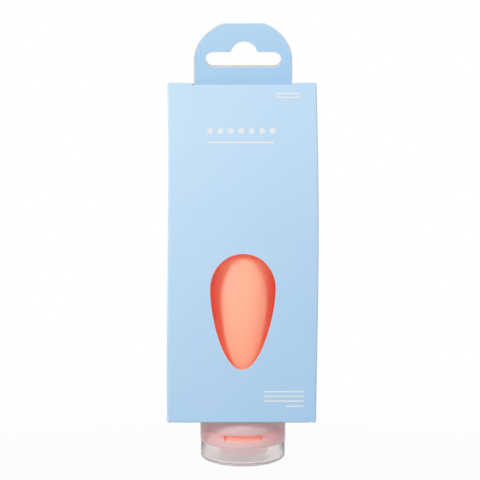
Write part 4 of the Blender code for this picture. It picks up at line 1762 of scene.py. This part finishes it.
def grown(name: str, tree: Tree, material: Material, points: Outline = (), **sizes: float) -> Thing:
    """Run a tree and keep the plain mesh that it makes.

    Args:
        name: the new object's name.
        tree: the Geometry Nodes tree.
        material: its Material input.
        points: a profile of radii and heights, for a tree that turns one.
        sizes: values for its number inputs, with underscores for spaces.

    Returns:
        The object, with its faces turned outwards.
    """
    mesh = bpy.data.meshes.new(name)
    mesh.from_pydata([(radius, 0.0, height) for radius, height in points], [], [])
    thing = link(name, mesh)
    modifier = thing.modifiers.new("grow", "NODES")
    modifier.node_group = tree
    sockets = {s.name: s.identifier for s in tree.interface.items_tree if s.in_out == "INPUT"}
    modifier[sockets["Material"]] = material
    for key, value in sizes.items():
        modifier[sockets[key.replace("_", " ")]] = value
    result = plain(thing)
    shape = bmesh.new()
    shape.from_mesh(result.data)
    bmesh.ops.recalc_face_normals(shape, faces=shape.faces)
    shape.to_mesh(result.data)
    shape.free()
    shade(result)
    return result


def turned_loop(name: str, tree: Tree, material: Material, corners: Sequence[Point3]) -> Thing:
    """Turn a closed profile round the upright axis.

    Args:
        name: the new object's name.
        tree: the tree that turns a profile.
        material: its material.
        corners: the profile's radii, heights and fillets.

    Returns:
        The ring-shaped object.
    """
    profile = rounded(corners, closed=True)
    return grown(name, tree, material, profile + profile[:1])


def soften(shape: bmesh.types.BMesh, edges: list[bmesh.types.BMEdge], size: float, steps: int) -> None:
    """Round some edges of a mesh."""
    bmesh.ops.bevel(shape, geom=edges, offset=size, segments=steps, affect="EDGES", profile=0.5)


def rod(name: str, radius: float, left: float, right: float, centre: Point2, bevel: float) -> Thing:
    """A round rod along X with soft ends.

    Args:
        name: the object's name.
        radius: the rod's radius.
        left: where it starts.
        right: where it ends.
        centre: its axis, as y and z.
        bevel: the size of the softened end edges.

    Returns:
        The rod.
    """
    shape = bmesh.new()
    place = Matrix.Translation(((left + right) / 2, *centre)) @ Matrix.Rotation(QUARTER, 4, "Y")
    sizes = {"radius1": radius, "radius2": radius, "depth": right - left, "segments": ROD_SEGMENTS}
    bmesh.ops.create_cone(shape, cap_ends=True, matrix=place, **sizes)
    if bevel > 0:
        rims = [edge for edge in shape.edges if len({round(v.co.x, 7) for v in edge.verts}) == 1]
        soften(shape, rims, bevel, ROD_BEVEL_STEPS)
    return settled(name, shape)


def brick(name: str, low: Sequence[float], high: Sequence[float], bevel: float = 0.0) -> Thing:
    """A block, with rounded edges where it has a bevel.

    Args:
        name: the object's name.
        low: its lowest corner.
        high: its highest corner.
        bevel: the radius of its edges.

    Returns:
        The block.
    """
    shape = bmesh.new()
    size = Vector(high) - Vector(low)
    place = Matrix.Translation((Vector(high) + Vector(low)) / 2) @ Matrix.Diagonal((*size, 1.0))
    bmesh.ops.create_cube(shape, size=1.0, matrix=place)
    if bevel > 0:
        soften(shape, shape.edges[:], bevel, BRICK_BEVEL_STEPS)
    return settled(name, shape)


def cornered(points: Sequence[Point2], fillets: Sequence[float]) -> list[Point3]:
    """Give each point of a profile its fillet radius."""
    return [(*point, fillet) for point, fillet in zip(points, fillets, strict=True)]


def banded(thing: Thing, materials: Sequence[Material], band: Callable[[float], int]) -> None:
    """Give the faces of a piece different materials by their height.

    Args:
        thing: the piece.
        materials: its materials.
        band: which of them a face at a height has.
    """
    thing.data.materials.clear()
    for material in materials:
        thing.data.materials.append(material)
    for face in thing.data.polygons:
        face.material_index = band(face.center.z)


@dataclass
class DripValve:
    """The domed silicone disc with a cross slit, between the neck's end and the cap's deck."""

    finishes: Finishes
    turned: Tree
    face: float = 0.0103
    top: float = 0.0117
    radius: float = 0.0142
    dome_radius: float = 0.0097
    bend_share: float = 0.6
    sink: float = 0.00095
    rises: Point3 = (0.0003, -0.0004, -0.0007)
    fillets: tuple[float, ...] = (0.0, 0.004, 0.0006, 0.0002, 0.0002, 0.0006, 0.004, 0.0)
    fillet_steps: int = 8
    slit: Span = (0.0030, 0.00015)
    overrun: float = 0.001

    def disc(self) -> Thing:
        """Turn the disc and cut its slit.

        Returns:
            The disc.
        """
        dome, centre, bend = self.dome_radius, self.top - self.sink, self.bend_share * self.dome_radius
        outer, lower, middle = (centre + rise for rise in self.rises)
        points = [(0.0, centre), (bend, outer), (dome, self.top), (self.radius, self.top)]
        points += [(self.radius, self.face), (dome, self.face), (bend, lower), (0.0, middle)]
        profile = rounded(cornered(points, self.fillets), self.fillet_steps)
        disc = grown("drip_valve_disc", self.turned, self.finishes.silicone, profile)
        low, high = self.face - self.overrun, self.top + self.overrun
        for name, (x, y) in (("slit_along", self.slit), ("slit_across", self.slit[::-1])):
            disc = combined(disc, brick(name, (-x, -y, low), (x, y, high)), Combine.CUT)
        shade(disc)
        return disc


@dataclass
class Bottle:
    """The silicone squeeze bottle, neck down."""

    finishes: Finishes
    turned: Tree
    thread: Tree
    shoulder: float = 0.0238
    shoulder_radius: float = 0.0176
    widest: float = 0.05697
    widest_radius: float = 0.0205
    round_start: float = 0.1560
    end: float = 0.1620
    end_radius: float = 0.0178
    end_round: float = 0.0060
    lower_power: float = 2.2
    upper_power: float = 1.8
    dimple_radius: float = 0.0110
    dimple_depth: float = 0.0015
    wall: float = 0.0026
    neck_radius: float = 0.0141
    neck_bore: float = 0.0113
    neck_end: float = 0.0120
    lip: float = 0.0012
    lip_inset: float = 0.0001
    fillets: tuple[float, ...] = (0.0, 0.0008, 0.0006, 0.0003, 0.0003, 0.0008, 0.0)
    dimple_points: int = 24
    round_steps: int = 20
    outer_steps: int = 90
    inner_steps: int = 60

    def side_radius(self, height: float) -> float:
        """The outer radius on the bottle's side.

        Args:
            height: where on the side.

        Returns:
            The radius there.
        """
        if height < self.widest:
            share = (self.widest - height) / (self.widest - self.shoulder)
            return self.widest_radius - (self.widest_radius - self.shoulder_radius) * share**self.lower_power
        share = (height - self.widest) / (self.round_start - self.widest)
        return self.widest_radius - (self.widest_radius - self.end_radius) * share**self.upper_power

    def side(self, low: float, high: float, steps: int, inwards: float = 0.0) -> Outline:
        """The side's profile from high to low, moved inwards by a wall."""
        return [(self.side_radius(z) - inwards, z) for z in np.linspace(high, low, steps + 1)]

    def dimple(self) -> Outline:
        """The shallow dimple in the closed end.

        Returns:
            Its profile, from the middle outwards.
        """
        radii = np.linspace(0.0, self.dimple_radius, self.dimple_points)
        waves = [(r, 1 + math.cos(math.pi * r / self.dimple_radius)) for r in radii]
        return [(r, self.end - self.dimple_depth * wave / 2) for r, wave in waves]

    def profile(self) -> Outline:
        """The outside from the middle of the end to the neck, and the inside back again.

        Returns:
            The points, as radius and height.
        """
        centre = (self.end_radius - self.end_round, self.end - self.end_round)
        outside = self.dimple() + arc(centre, self.end_round, QUARTER, 0.0, self.round_steps)
        lip_height, start = self.shoulder + self.lip, self.shoulder + 2 * self.wall
        outside += self.side(lip_height, self.round_start, self.outer_steps)[1:]
        lip = self.side_radius(lip_height)
        bend = [(lip, lip_height), (lip - self.lip_inset, self.shoulder)]
        bend += [(self.neck_radius, self.shoulder), (self.neck_radius, self.neck_end)]
        bend += [(self.neck_bore, self.neck_end), (self.neck_bore, self.shoulder + self.wall)]
        bend += [(self.side_radius(start) - self.wall, start)]
        inside = self.side(start, self.round_start, self.inner_steps, self.wall)[::-1]
        inner = self.end_round - self.wall
        ceiling = self.end - self.dimple_depth - self.wall
        corner = (self.end_radius - self.wall - inner, ceiling - inner)
        inside += arc(corner, inner, 0.0, QUARTER, self.round_steps // 2)
        return outside + rounded(cornered(bend, self.fillets))[1:-1] + inside + [(0.0, ceiling)]

    def body(self) -> Thing:
        """The shell with the ridge of its thread.

        Returns:
            The shell.
        """
        shell = grown("silicone_bottle", self.turned, self.finishes.silicone, self.profile())
        ridge = grown("neck_thread", self.thread, self.finishes.silicone, Radius=self.neck_radius)
        shell = combined(shell, ridge, Combine.JOIN)
        shade(shell)
        return shell

    def build(self) -> None:
        """Make the silicone pieces and seat them in the frame."""
        dressed(self.body(), "bottle", ["bottle_body"])
        dressed(DripValve(self.finishes, self.turned).disc(), "valve", ["drip_valve"])


@dataclass(frozen=True)
class BaseSizes:
    """The cap's inner part, by radii and heights."""

    flange: float = 0.0177
    sleeve: float = 0.0168
    thread: float = 0.0154
    well: float = 0.0098
    pedestal: Span = (0.0117, 0.0115)
    spout: Span = (0.0032, 0.0028)
    spout_bore: float = 0.0018
    top: float = 0.0232
    flange_low: float = 0.0222
    deck: float = 0.0100
    foot: Span = (0.0093, 0.0086)
    well_floor: float = 0.0046
    pedestal_end: float = 0.0025
    spout_end: float = 0.0024
    outer_fillets: tuple[float, ...] = (0.0002, 0.0002, 0.0002, 0.0002, 0.0001, 0.0001, 0.0004, 0.0004)
    inner_fillets: tuple[float, ...] = (0.0002, 0.0002, 0.0002, 0.0003, 0.0006, 0.0004, 0.0003, 0.0002)

    def corners(self) -> list[Point3]:
        """The closed profile.

        Returns:
            Its radii, heights and fillets: down the outside, and up the spout, the well and the thread.
        """
        outside = [(self.flange, self.top), (self.flange, self.flange_low), (self.sleeve, self.flange_low)]
        outside += [(self.sleeve, self.foot[0]), (self.flange, self.foot[0]), (self.flange, self.foot[1])]
        outside += [(self.pedestal[0], self.foot[1]), (self.pedestal[1], self.pedestal_end)]
        inside = [(self.spout[0], self.pedestal_end), (self.spout[1], self.spout_end)]
        inside += [(self.spout_bore, self.spout_end), (self.spout_bore, self.well_floor)]
        inside += [(self.well, self.well_floor), (self.well, self.deck), (self.thread, self.deck)]
        inside += [(self.thread, self.top)]
        return cornered(outside, self.outer_fillets) + cornered(inside, self.inner_fillets)


@dataclass(frozen=True)
class HingeSizes:
    """The lid's hinge at the back of the seam."""

    axis: Point2 = (0.0210, 0.00815)
    knuckle: float = 0.0016
    half: float = 0.0030
    trunnion: float = 0.0006
    trunnion_reach: float = 0.0023
    gap: float = 0.0003
    ear_reach: float = 0.0033
    ear_web_y: float = 0.0182
    lid_web_y: float = 0.0180
    bore_end: float = 0.0006
    bevel: float = 0.0002
    trunnion_bevel: float = 0.00015


@dataclass
class Cap:
    """The dispensing cap: base, frosted collar, coral ring and clear flip lid."""

    finishes: Finishes
    turned: Tree
    thread: Tree
    collar_radius: float = 0.0191
    collar_bore: float = 0.0180
    collar_low: float = 0.0081
    collar_top: float = 0.0235
    seam: float = 0.0083
    groove: float = 0.0139
    groove_depth: float = 0.0002
    collar_fillets: tuple[float, ...] = (0.0002, 0.0004, 0.0, 0.0001, 0.0, 0.0004, 0.0002)
    slot_half: float = 0.0082
    slot_height: Span = (0.0109, 0.0131)
    slot_front: float = -0.021
    slot_corner: float = 0.0004
    overrun: float = 0.001
    ring_radii: Span = (0.0171, 0.0177)
    ring_height: Span = (0.0096, 0.0154)
    ring_fillets: tuple[float, ...] = (0.0001, 0.0002, 0.0, 0.0002, 0.0001, 0.0)
    lid_radius: float = 0.0189
    lid_bore: float = 0.0176
    lid_height: float = 0.0080
    lid_floor: float = 0.0013
    pin_radius: float = 0.0013
    pin_end: float = 0.0042
    lid_fillets: tuple[float, ...] = (0.0, 0.0003, 0.0003, 0.0008, 0.0002, 0.0003, 0.0016, 0.0)
    lid_fillet_steps: int = 8
    foot_rise: float = 0.0003
    rim_depth: float = 0.0004
    inside: BaseSizes = BaseSizes()
    hinge: HingeSizes = HingeSizes()

    def base(self) -> Thing:
        """The threaded sleeve, the deck, the raised pedestal and the spout.

        Returns:
            The cap's inner part.
        """
        # the inner plastic glows: painted light
        tone = self.finishes.inner
        base = turned_loop("cap_sleeve_and_spout", self.turned, tone, self.inside.corners())
        ridge = grown("sleeve_thread", self.thread, tone, Radius=self.inside.thread, Phase=math.pi)
        base = combined(base, ridge, Combine.JOIN)
        shade(base)
        return base

    def collar(self) -> Thing:
        """The outer collar with its sight slot in front and the hinge ears at the back.

        Returns:
            The collar.
        """
        outer, bore, low, high = self.collar_radius, self.collar_bore, self.collar_low, self.collar_top
        nick, half = self.groove_depth, self.slot_half
        points = [(bore, high), (outer, high), (outer, self.groove + nick), (outer - nick, self.groove)]
        points += [(outer, self.groove - nick), (outer, low), (bore, low)]
        corners = cornered(points, self.collar_fillets)
        collar = turned_loop("frosted_collar", self.turned, self.finishes.frosted, corners)
        inner = math.sqrt(bore**2 - half**2) - self.overrun
        low_corner, high_corner = zip((-half, half), (self.slot_front, -inner), self.slot_height)
        slot = brick("sight_slot", low_corner, high_corner, self.slot_corner)
        collar = combined(collar, slot, Combine.CUT)
        hinge, (y, z) = self.hinge, self.hinge.axis
        near, far = hinge.half + hinge.gap, hinge.half + hinge.ear_reach
        for sign in (-1, 1):
            left, right = sorted((sign * near, sign * far))
            ear = rod("hinge_ear", hinge.knuckle, left, right, hinge.axis, hinge.bevel)
            web = brick("ear_web", (left, hinge.ear_web_y, self.seam), (right, y, z + hinge.knuckle))
            collar = combined(collar, combined(ear, web, Combine.JOIN), Combine.JOIN)
        reach = far - hinge.bore_end
        bore_rod = rod("ear_bore", hinge.trunnion + hinge.gap, -reach, reach, hinge.axis, 0.0)
        collar = combined(collar, bore_rod, Combine.CUT)
        shade(collar)
        return collar

    def ring(self) -> Thing:
        """The coral ring that shows through the sight slot.

        Returns:
            The ring, coral up to the slot's top and frosted above it.
        """
        (bore, outer), (low, high), level = self.ring_radii, self.ring_height, self.slot_height[1]
        points = [(bore, high), (outer, high), (outer, level), (outer, low), (bore, low), (bore, level)]
        corners = cornered(points, self.ring_fillets)
        ring = turned_loop("coral_ring", self.turned, self.finishes.coral, corners)
        banded(ring, (self.finishes.coral, self.finishes.frosted), lambda height: int(height > level))
        return ring

    def lid(self) -> Thing:
        """The clear lid with its plug pin, hinge knuckle and trunnions.

        Returns:
            The lid, with its etched bottom and its rim top in the glowing inner plastic, a painted light
            line at the seam.
        """
        floor, pin, bore, outer = self.lid_floor, self.pin_radius, self.lid_bore, self.lid_radius
        points = [(0.0, self.pin_end), (pin, self.pin_end), (pin, floor), (bore, floor)]
        points += [(bore, self.lid_height), (outer, self.lid_height), (outer, 0.0), (0.0, 0.0)]
        profile = rounded(cornered(points, self.lid_fillets), self.lid_fillet_steps)
        lid = grown("clear_flip_lid", self.turned, self.finishes.clear, profile)
        foot, rim = floor + self.foot_rise, self.lid_height - self.rim_depth
        # the rim's top is in the inner plastic, whose painted emission makes a pale line at the seam
        tones = (self.finishes.clear, self.finishes.inner, self.finishes.foot)
        banded(lid, tones, lambda height: 2 * int(height < foot) + int(height > rim))
        hinge, (y, z) = self.hinge, self.hinge.axis
        half, reach = hinge.half, hinge.half + hinge.trunnion_reach
        knuckle = rod("lid_knuckle", hinge.knuckle, -half, half, hinge.axis, hinge.bevel)
        web = brick("lid_web", (-half, hinge.lid_web_y, z - hinge.knuckle), (half, y, self.lid_height))
        pins = rod("lid_trunnions", hinge.trunnion, -reach, reach, hinge.axis, hinge.trunnion_bevel)
        knuckle = combined(combined(knuckle, web, Combine.JOIN), pins, Combine.JOIN)
        lid = combined(lid, knuckle, Combine.JOIN)
        shade(lid)
        return lid

    def build(self) -> None:
        """Make the cap's pieces and seat them in the frame."""
        dressed(self.base(), "cap", ["cap_base"])
        dressed(self.collar(), "cap", ["collar_shell"])
        dressed(self.ring(), "ring", ["label_ring"])
        ticks = grown("ring_ticks", tick_ring_tree(), self.finishes.coral)
        dressed(ticks, "ring", [])
        dressed(self.lid(), "lid", ["flip_lid"])


@dataclass(frozen=True)
class BarRow:
    """A row of equal round-ended bars on the front panel."""

    start: Point2
    step: Point2
    width: float
    height: float
    count: int


@dataclass
class PlainMarks:
    """Plain dots and bars of white ink, where the carton's front is printed."""

    finishes: Finishes
    carton: Carton
    lift: float = 0.00003
    rows: tuple[BarRow, ...] = (
        BarRow((-0.0139, 0.1432), (0.0044, 0.0), 0.0026, 0.0026, 7),
        BarRow((-0.0010, 0.1383), (0.0, 0.0), 0.0282, 0.0008, 1),
        BarRow((0.0193, 0.1590), (0.0, -0.0016), 0.0110, 0.0006, 2),
        BarRow((0.0179, 0.0330), (0.0, -0.0020), 0.0170, 0.0007, 3),
        BarRow((0.0224, 0.0268), (0.0, 0.0), 0.0080, 0.0007, 1),
    )

    def build(self) -> None:
        """Make the ink and lay it on the bowed panel."""
        tree = bar_row_tree()
        shape = bmesh.new()
        for index, row in enumerate(self.rows):
            sizes = dict(zip(("Start_X", "Start_Z", "Step_X", "Step_Z"), row.start + row.step))
            sizes |= {"Width": row.width, "Height": row.height, "Count": row.count}
            bars = grown(f"ink_row_{index}", tree, self.finishes.ink, **sizes)
            shape.from_mesh(bars.data)
            bpy.data.objects.remove(bars, do_unlink=True)
        shape.normal_update()
        bmesh.ops.reverse_faces(shape, faces=[face for face in shape.faces if face.normal.y > 0])
        marks = settled("plain_ink_marks", shape)
        mesh = marks.data
        places = np.array([tuple(vertex.co) for vertex in mesh.vertices])
        places[:, 1] = -self.carton.middle_y - self.carton.half_board
        places = self.carton.warped(places)
        places[:, 1] -= self.lift
        mesh.vertices.foreach_set("co", places.ravel())
        mesh.materials.append(self.finishes.ink)
        mesh.update()
        dressed(marks, "carton", [])


@dataclass(frozen=True)
class Softbox:
    """A large soft lamp that faces a point."""

    name: str
    place: Point3
    size: float
    power: float
    target: Point3 = (0.0, 0.0, 0.09)

    def hang(self) -> None:
        """Add the lamp to the scene."""
        lamp = bpy.data.lights.new(self.name, "AREA")
        lamp.shape = "SQUARE"
        lamp.size = self.size
        lamp.energy = self.power
        thing = bpy.data.objects.new(self.name, lamp)
        thing.location = self.place
        aim = Vector(self.target) - Vector(self.place)
        thing.rotation_euler = aim.to_track_quat("-Z", "Y").to_euler()
        bpy.context.scene.collection.objects.link(thing)


@dataclass
class Studio:
    """The camera, the pale floor, the white surroundings and the soft lamps."""

    camera_place: Point3 = (-0.0013, -0.3562, 0.0971)
    lens: float = 59.25
    sensor: float = 36.0
    seen_from: float = 0.01
    seen_to: float = 20.0
    world_strength: float = 0.02
    floor_level: float = -0.06
    floor_size: float = 3.0
    floor_parts: int = 8
    floor_tone: Colour = (0.45, 0.45, 0.45)
    fade: Span = (0.12, 0.55)
    fade_share: Span = (0.95, 1.0)
    lamps: tuple[Softbox, ...] = (
        Softbox("left_softbox", (-0.80, -0.80, 0.66), 0.30, 9.65),
        Softbox("right_softbox", (0.66, -0.92, 0.70), 0.30, 5.6),
        Softbox("left_fill", (-1.05, -0.50, 0.0), 0.5, 3.7, (0.0, 0.0, 0.01)),
        Softbox("right_fill", (1.05, -0.50, 0.0), 0.5, 3.7, (0.0, 0.0, 0.01)),
        Softbox("top_softbox", (0.0, 0.1, 1.1), 0.8, 3.0),
        Softbox("back_softbox", (0.2, 1.1, 0.5), 0.9, 3.0),
    )

    def camera(self) -> None:
        """Set up the camera at the photograph's viewpoint."""
        lens = bpy.data.cameras.new("view")
        lens.lens = self.lens
        lens.sensor_width = self.sensor
        lens.sensor_fit = "HORIZONTAL"
        lens.clip_start = self.seen_from
        lens.clip_end = self.seen_to
        thing = bpy.data.objects.new("view", lens)
        thing.location = self.camera_place
        thing.rotation_euler = (QUARTER, 0.0, 0.0)
        bpy.context.scene.collection.objects.link(thing)
        bpy.context.scene.camera = thing

    def world(self) -> None:
        """Surround the object with white for seen rays, and with much less light for the rest."""
        world = bpy.data.worlds.new("white_surroundings")
        world.use_nodes = True
        bpy.context.scene.world = world
        graph = Wiring(world.node_tree)
        strength = graph.span(graph.seen(), (0.0, 1.0), (self.world_strength, 1.0))
        graph.feed(graph.tree.nodes["Background"], Color=(1.0, 1.0, 1.0, 1.0), Strength=strength)

    def floor(self) -> None:
        """Lay the pale floor, which turns into the white surroundings away from the object."""
        shape = bmesh.new()
        place = Matrix.Translation((0.0, 0.0, self.floor_level))
        parts = {"x_segments": self.floor_parts, "y_segments": self.floor_parts}
        bmesh.ops.create_grid(shape, size=self.floor_size / 2, matrix=place, **parts)
        floor = settled("studio_floor", shape)
        graph = Graph("pale_floor")
        graph.shine(Base_Color=(*self.floor_tone, 1.0), Roughness=1.0, Specular_IOR_Level=0.0)
        away = graph.node("VectorMath", operation="LENGTH")
        graph.give(away.inputs[0], graph.node("TexCoord").outputs["Object"])
        fade = graph.span(away.outputs["Value"], self.fade, self.fade_share, "SMOOTHSTEP")
        mix = graph.feed(graph.node("MixShader"), Fac=graph.math("MULTIPLY", fade, graph.seen()))
        graph.give(mix.inputs[1], graph.shader.outputs[0])
        graph.give(mix.inputs[2], graph.node("Emission").outputs[0])
        graph.feed(graph.tree.nodes["Material Output"], Surface=mix.outputs[0])
        floor.data.materials.append(graph.material)

    def build(self) -> None:
        """Set up everything round the object."""
        bpy.context.scene.view_settings.view_transform = "Standard"
        self.camera()
        self.world()
        self.floor()
        for lamp in self.lamps:
            lamp.hang()


def main() -> None:
    """Load the frame, and build the object and its studio."""
    logging.basicConfig(level=logging.INFO, format="%(message)s")
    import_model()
    Studio().build()
    finishes = Finishes()
    turned, thread = turned_tree(), thread_tree()
    carton = Carton(finishes)
    carton.build()
    Bottle(finishes, turned, thread).build()
    Cap(finishes, turned, thread).build()
    PlainMarks(finishes, carton).build()


if __name__ == "__main__":
    main()
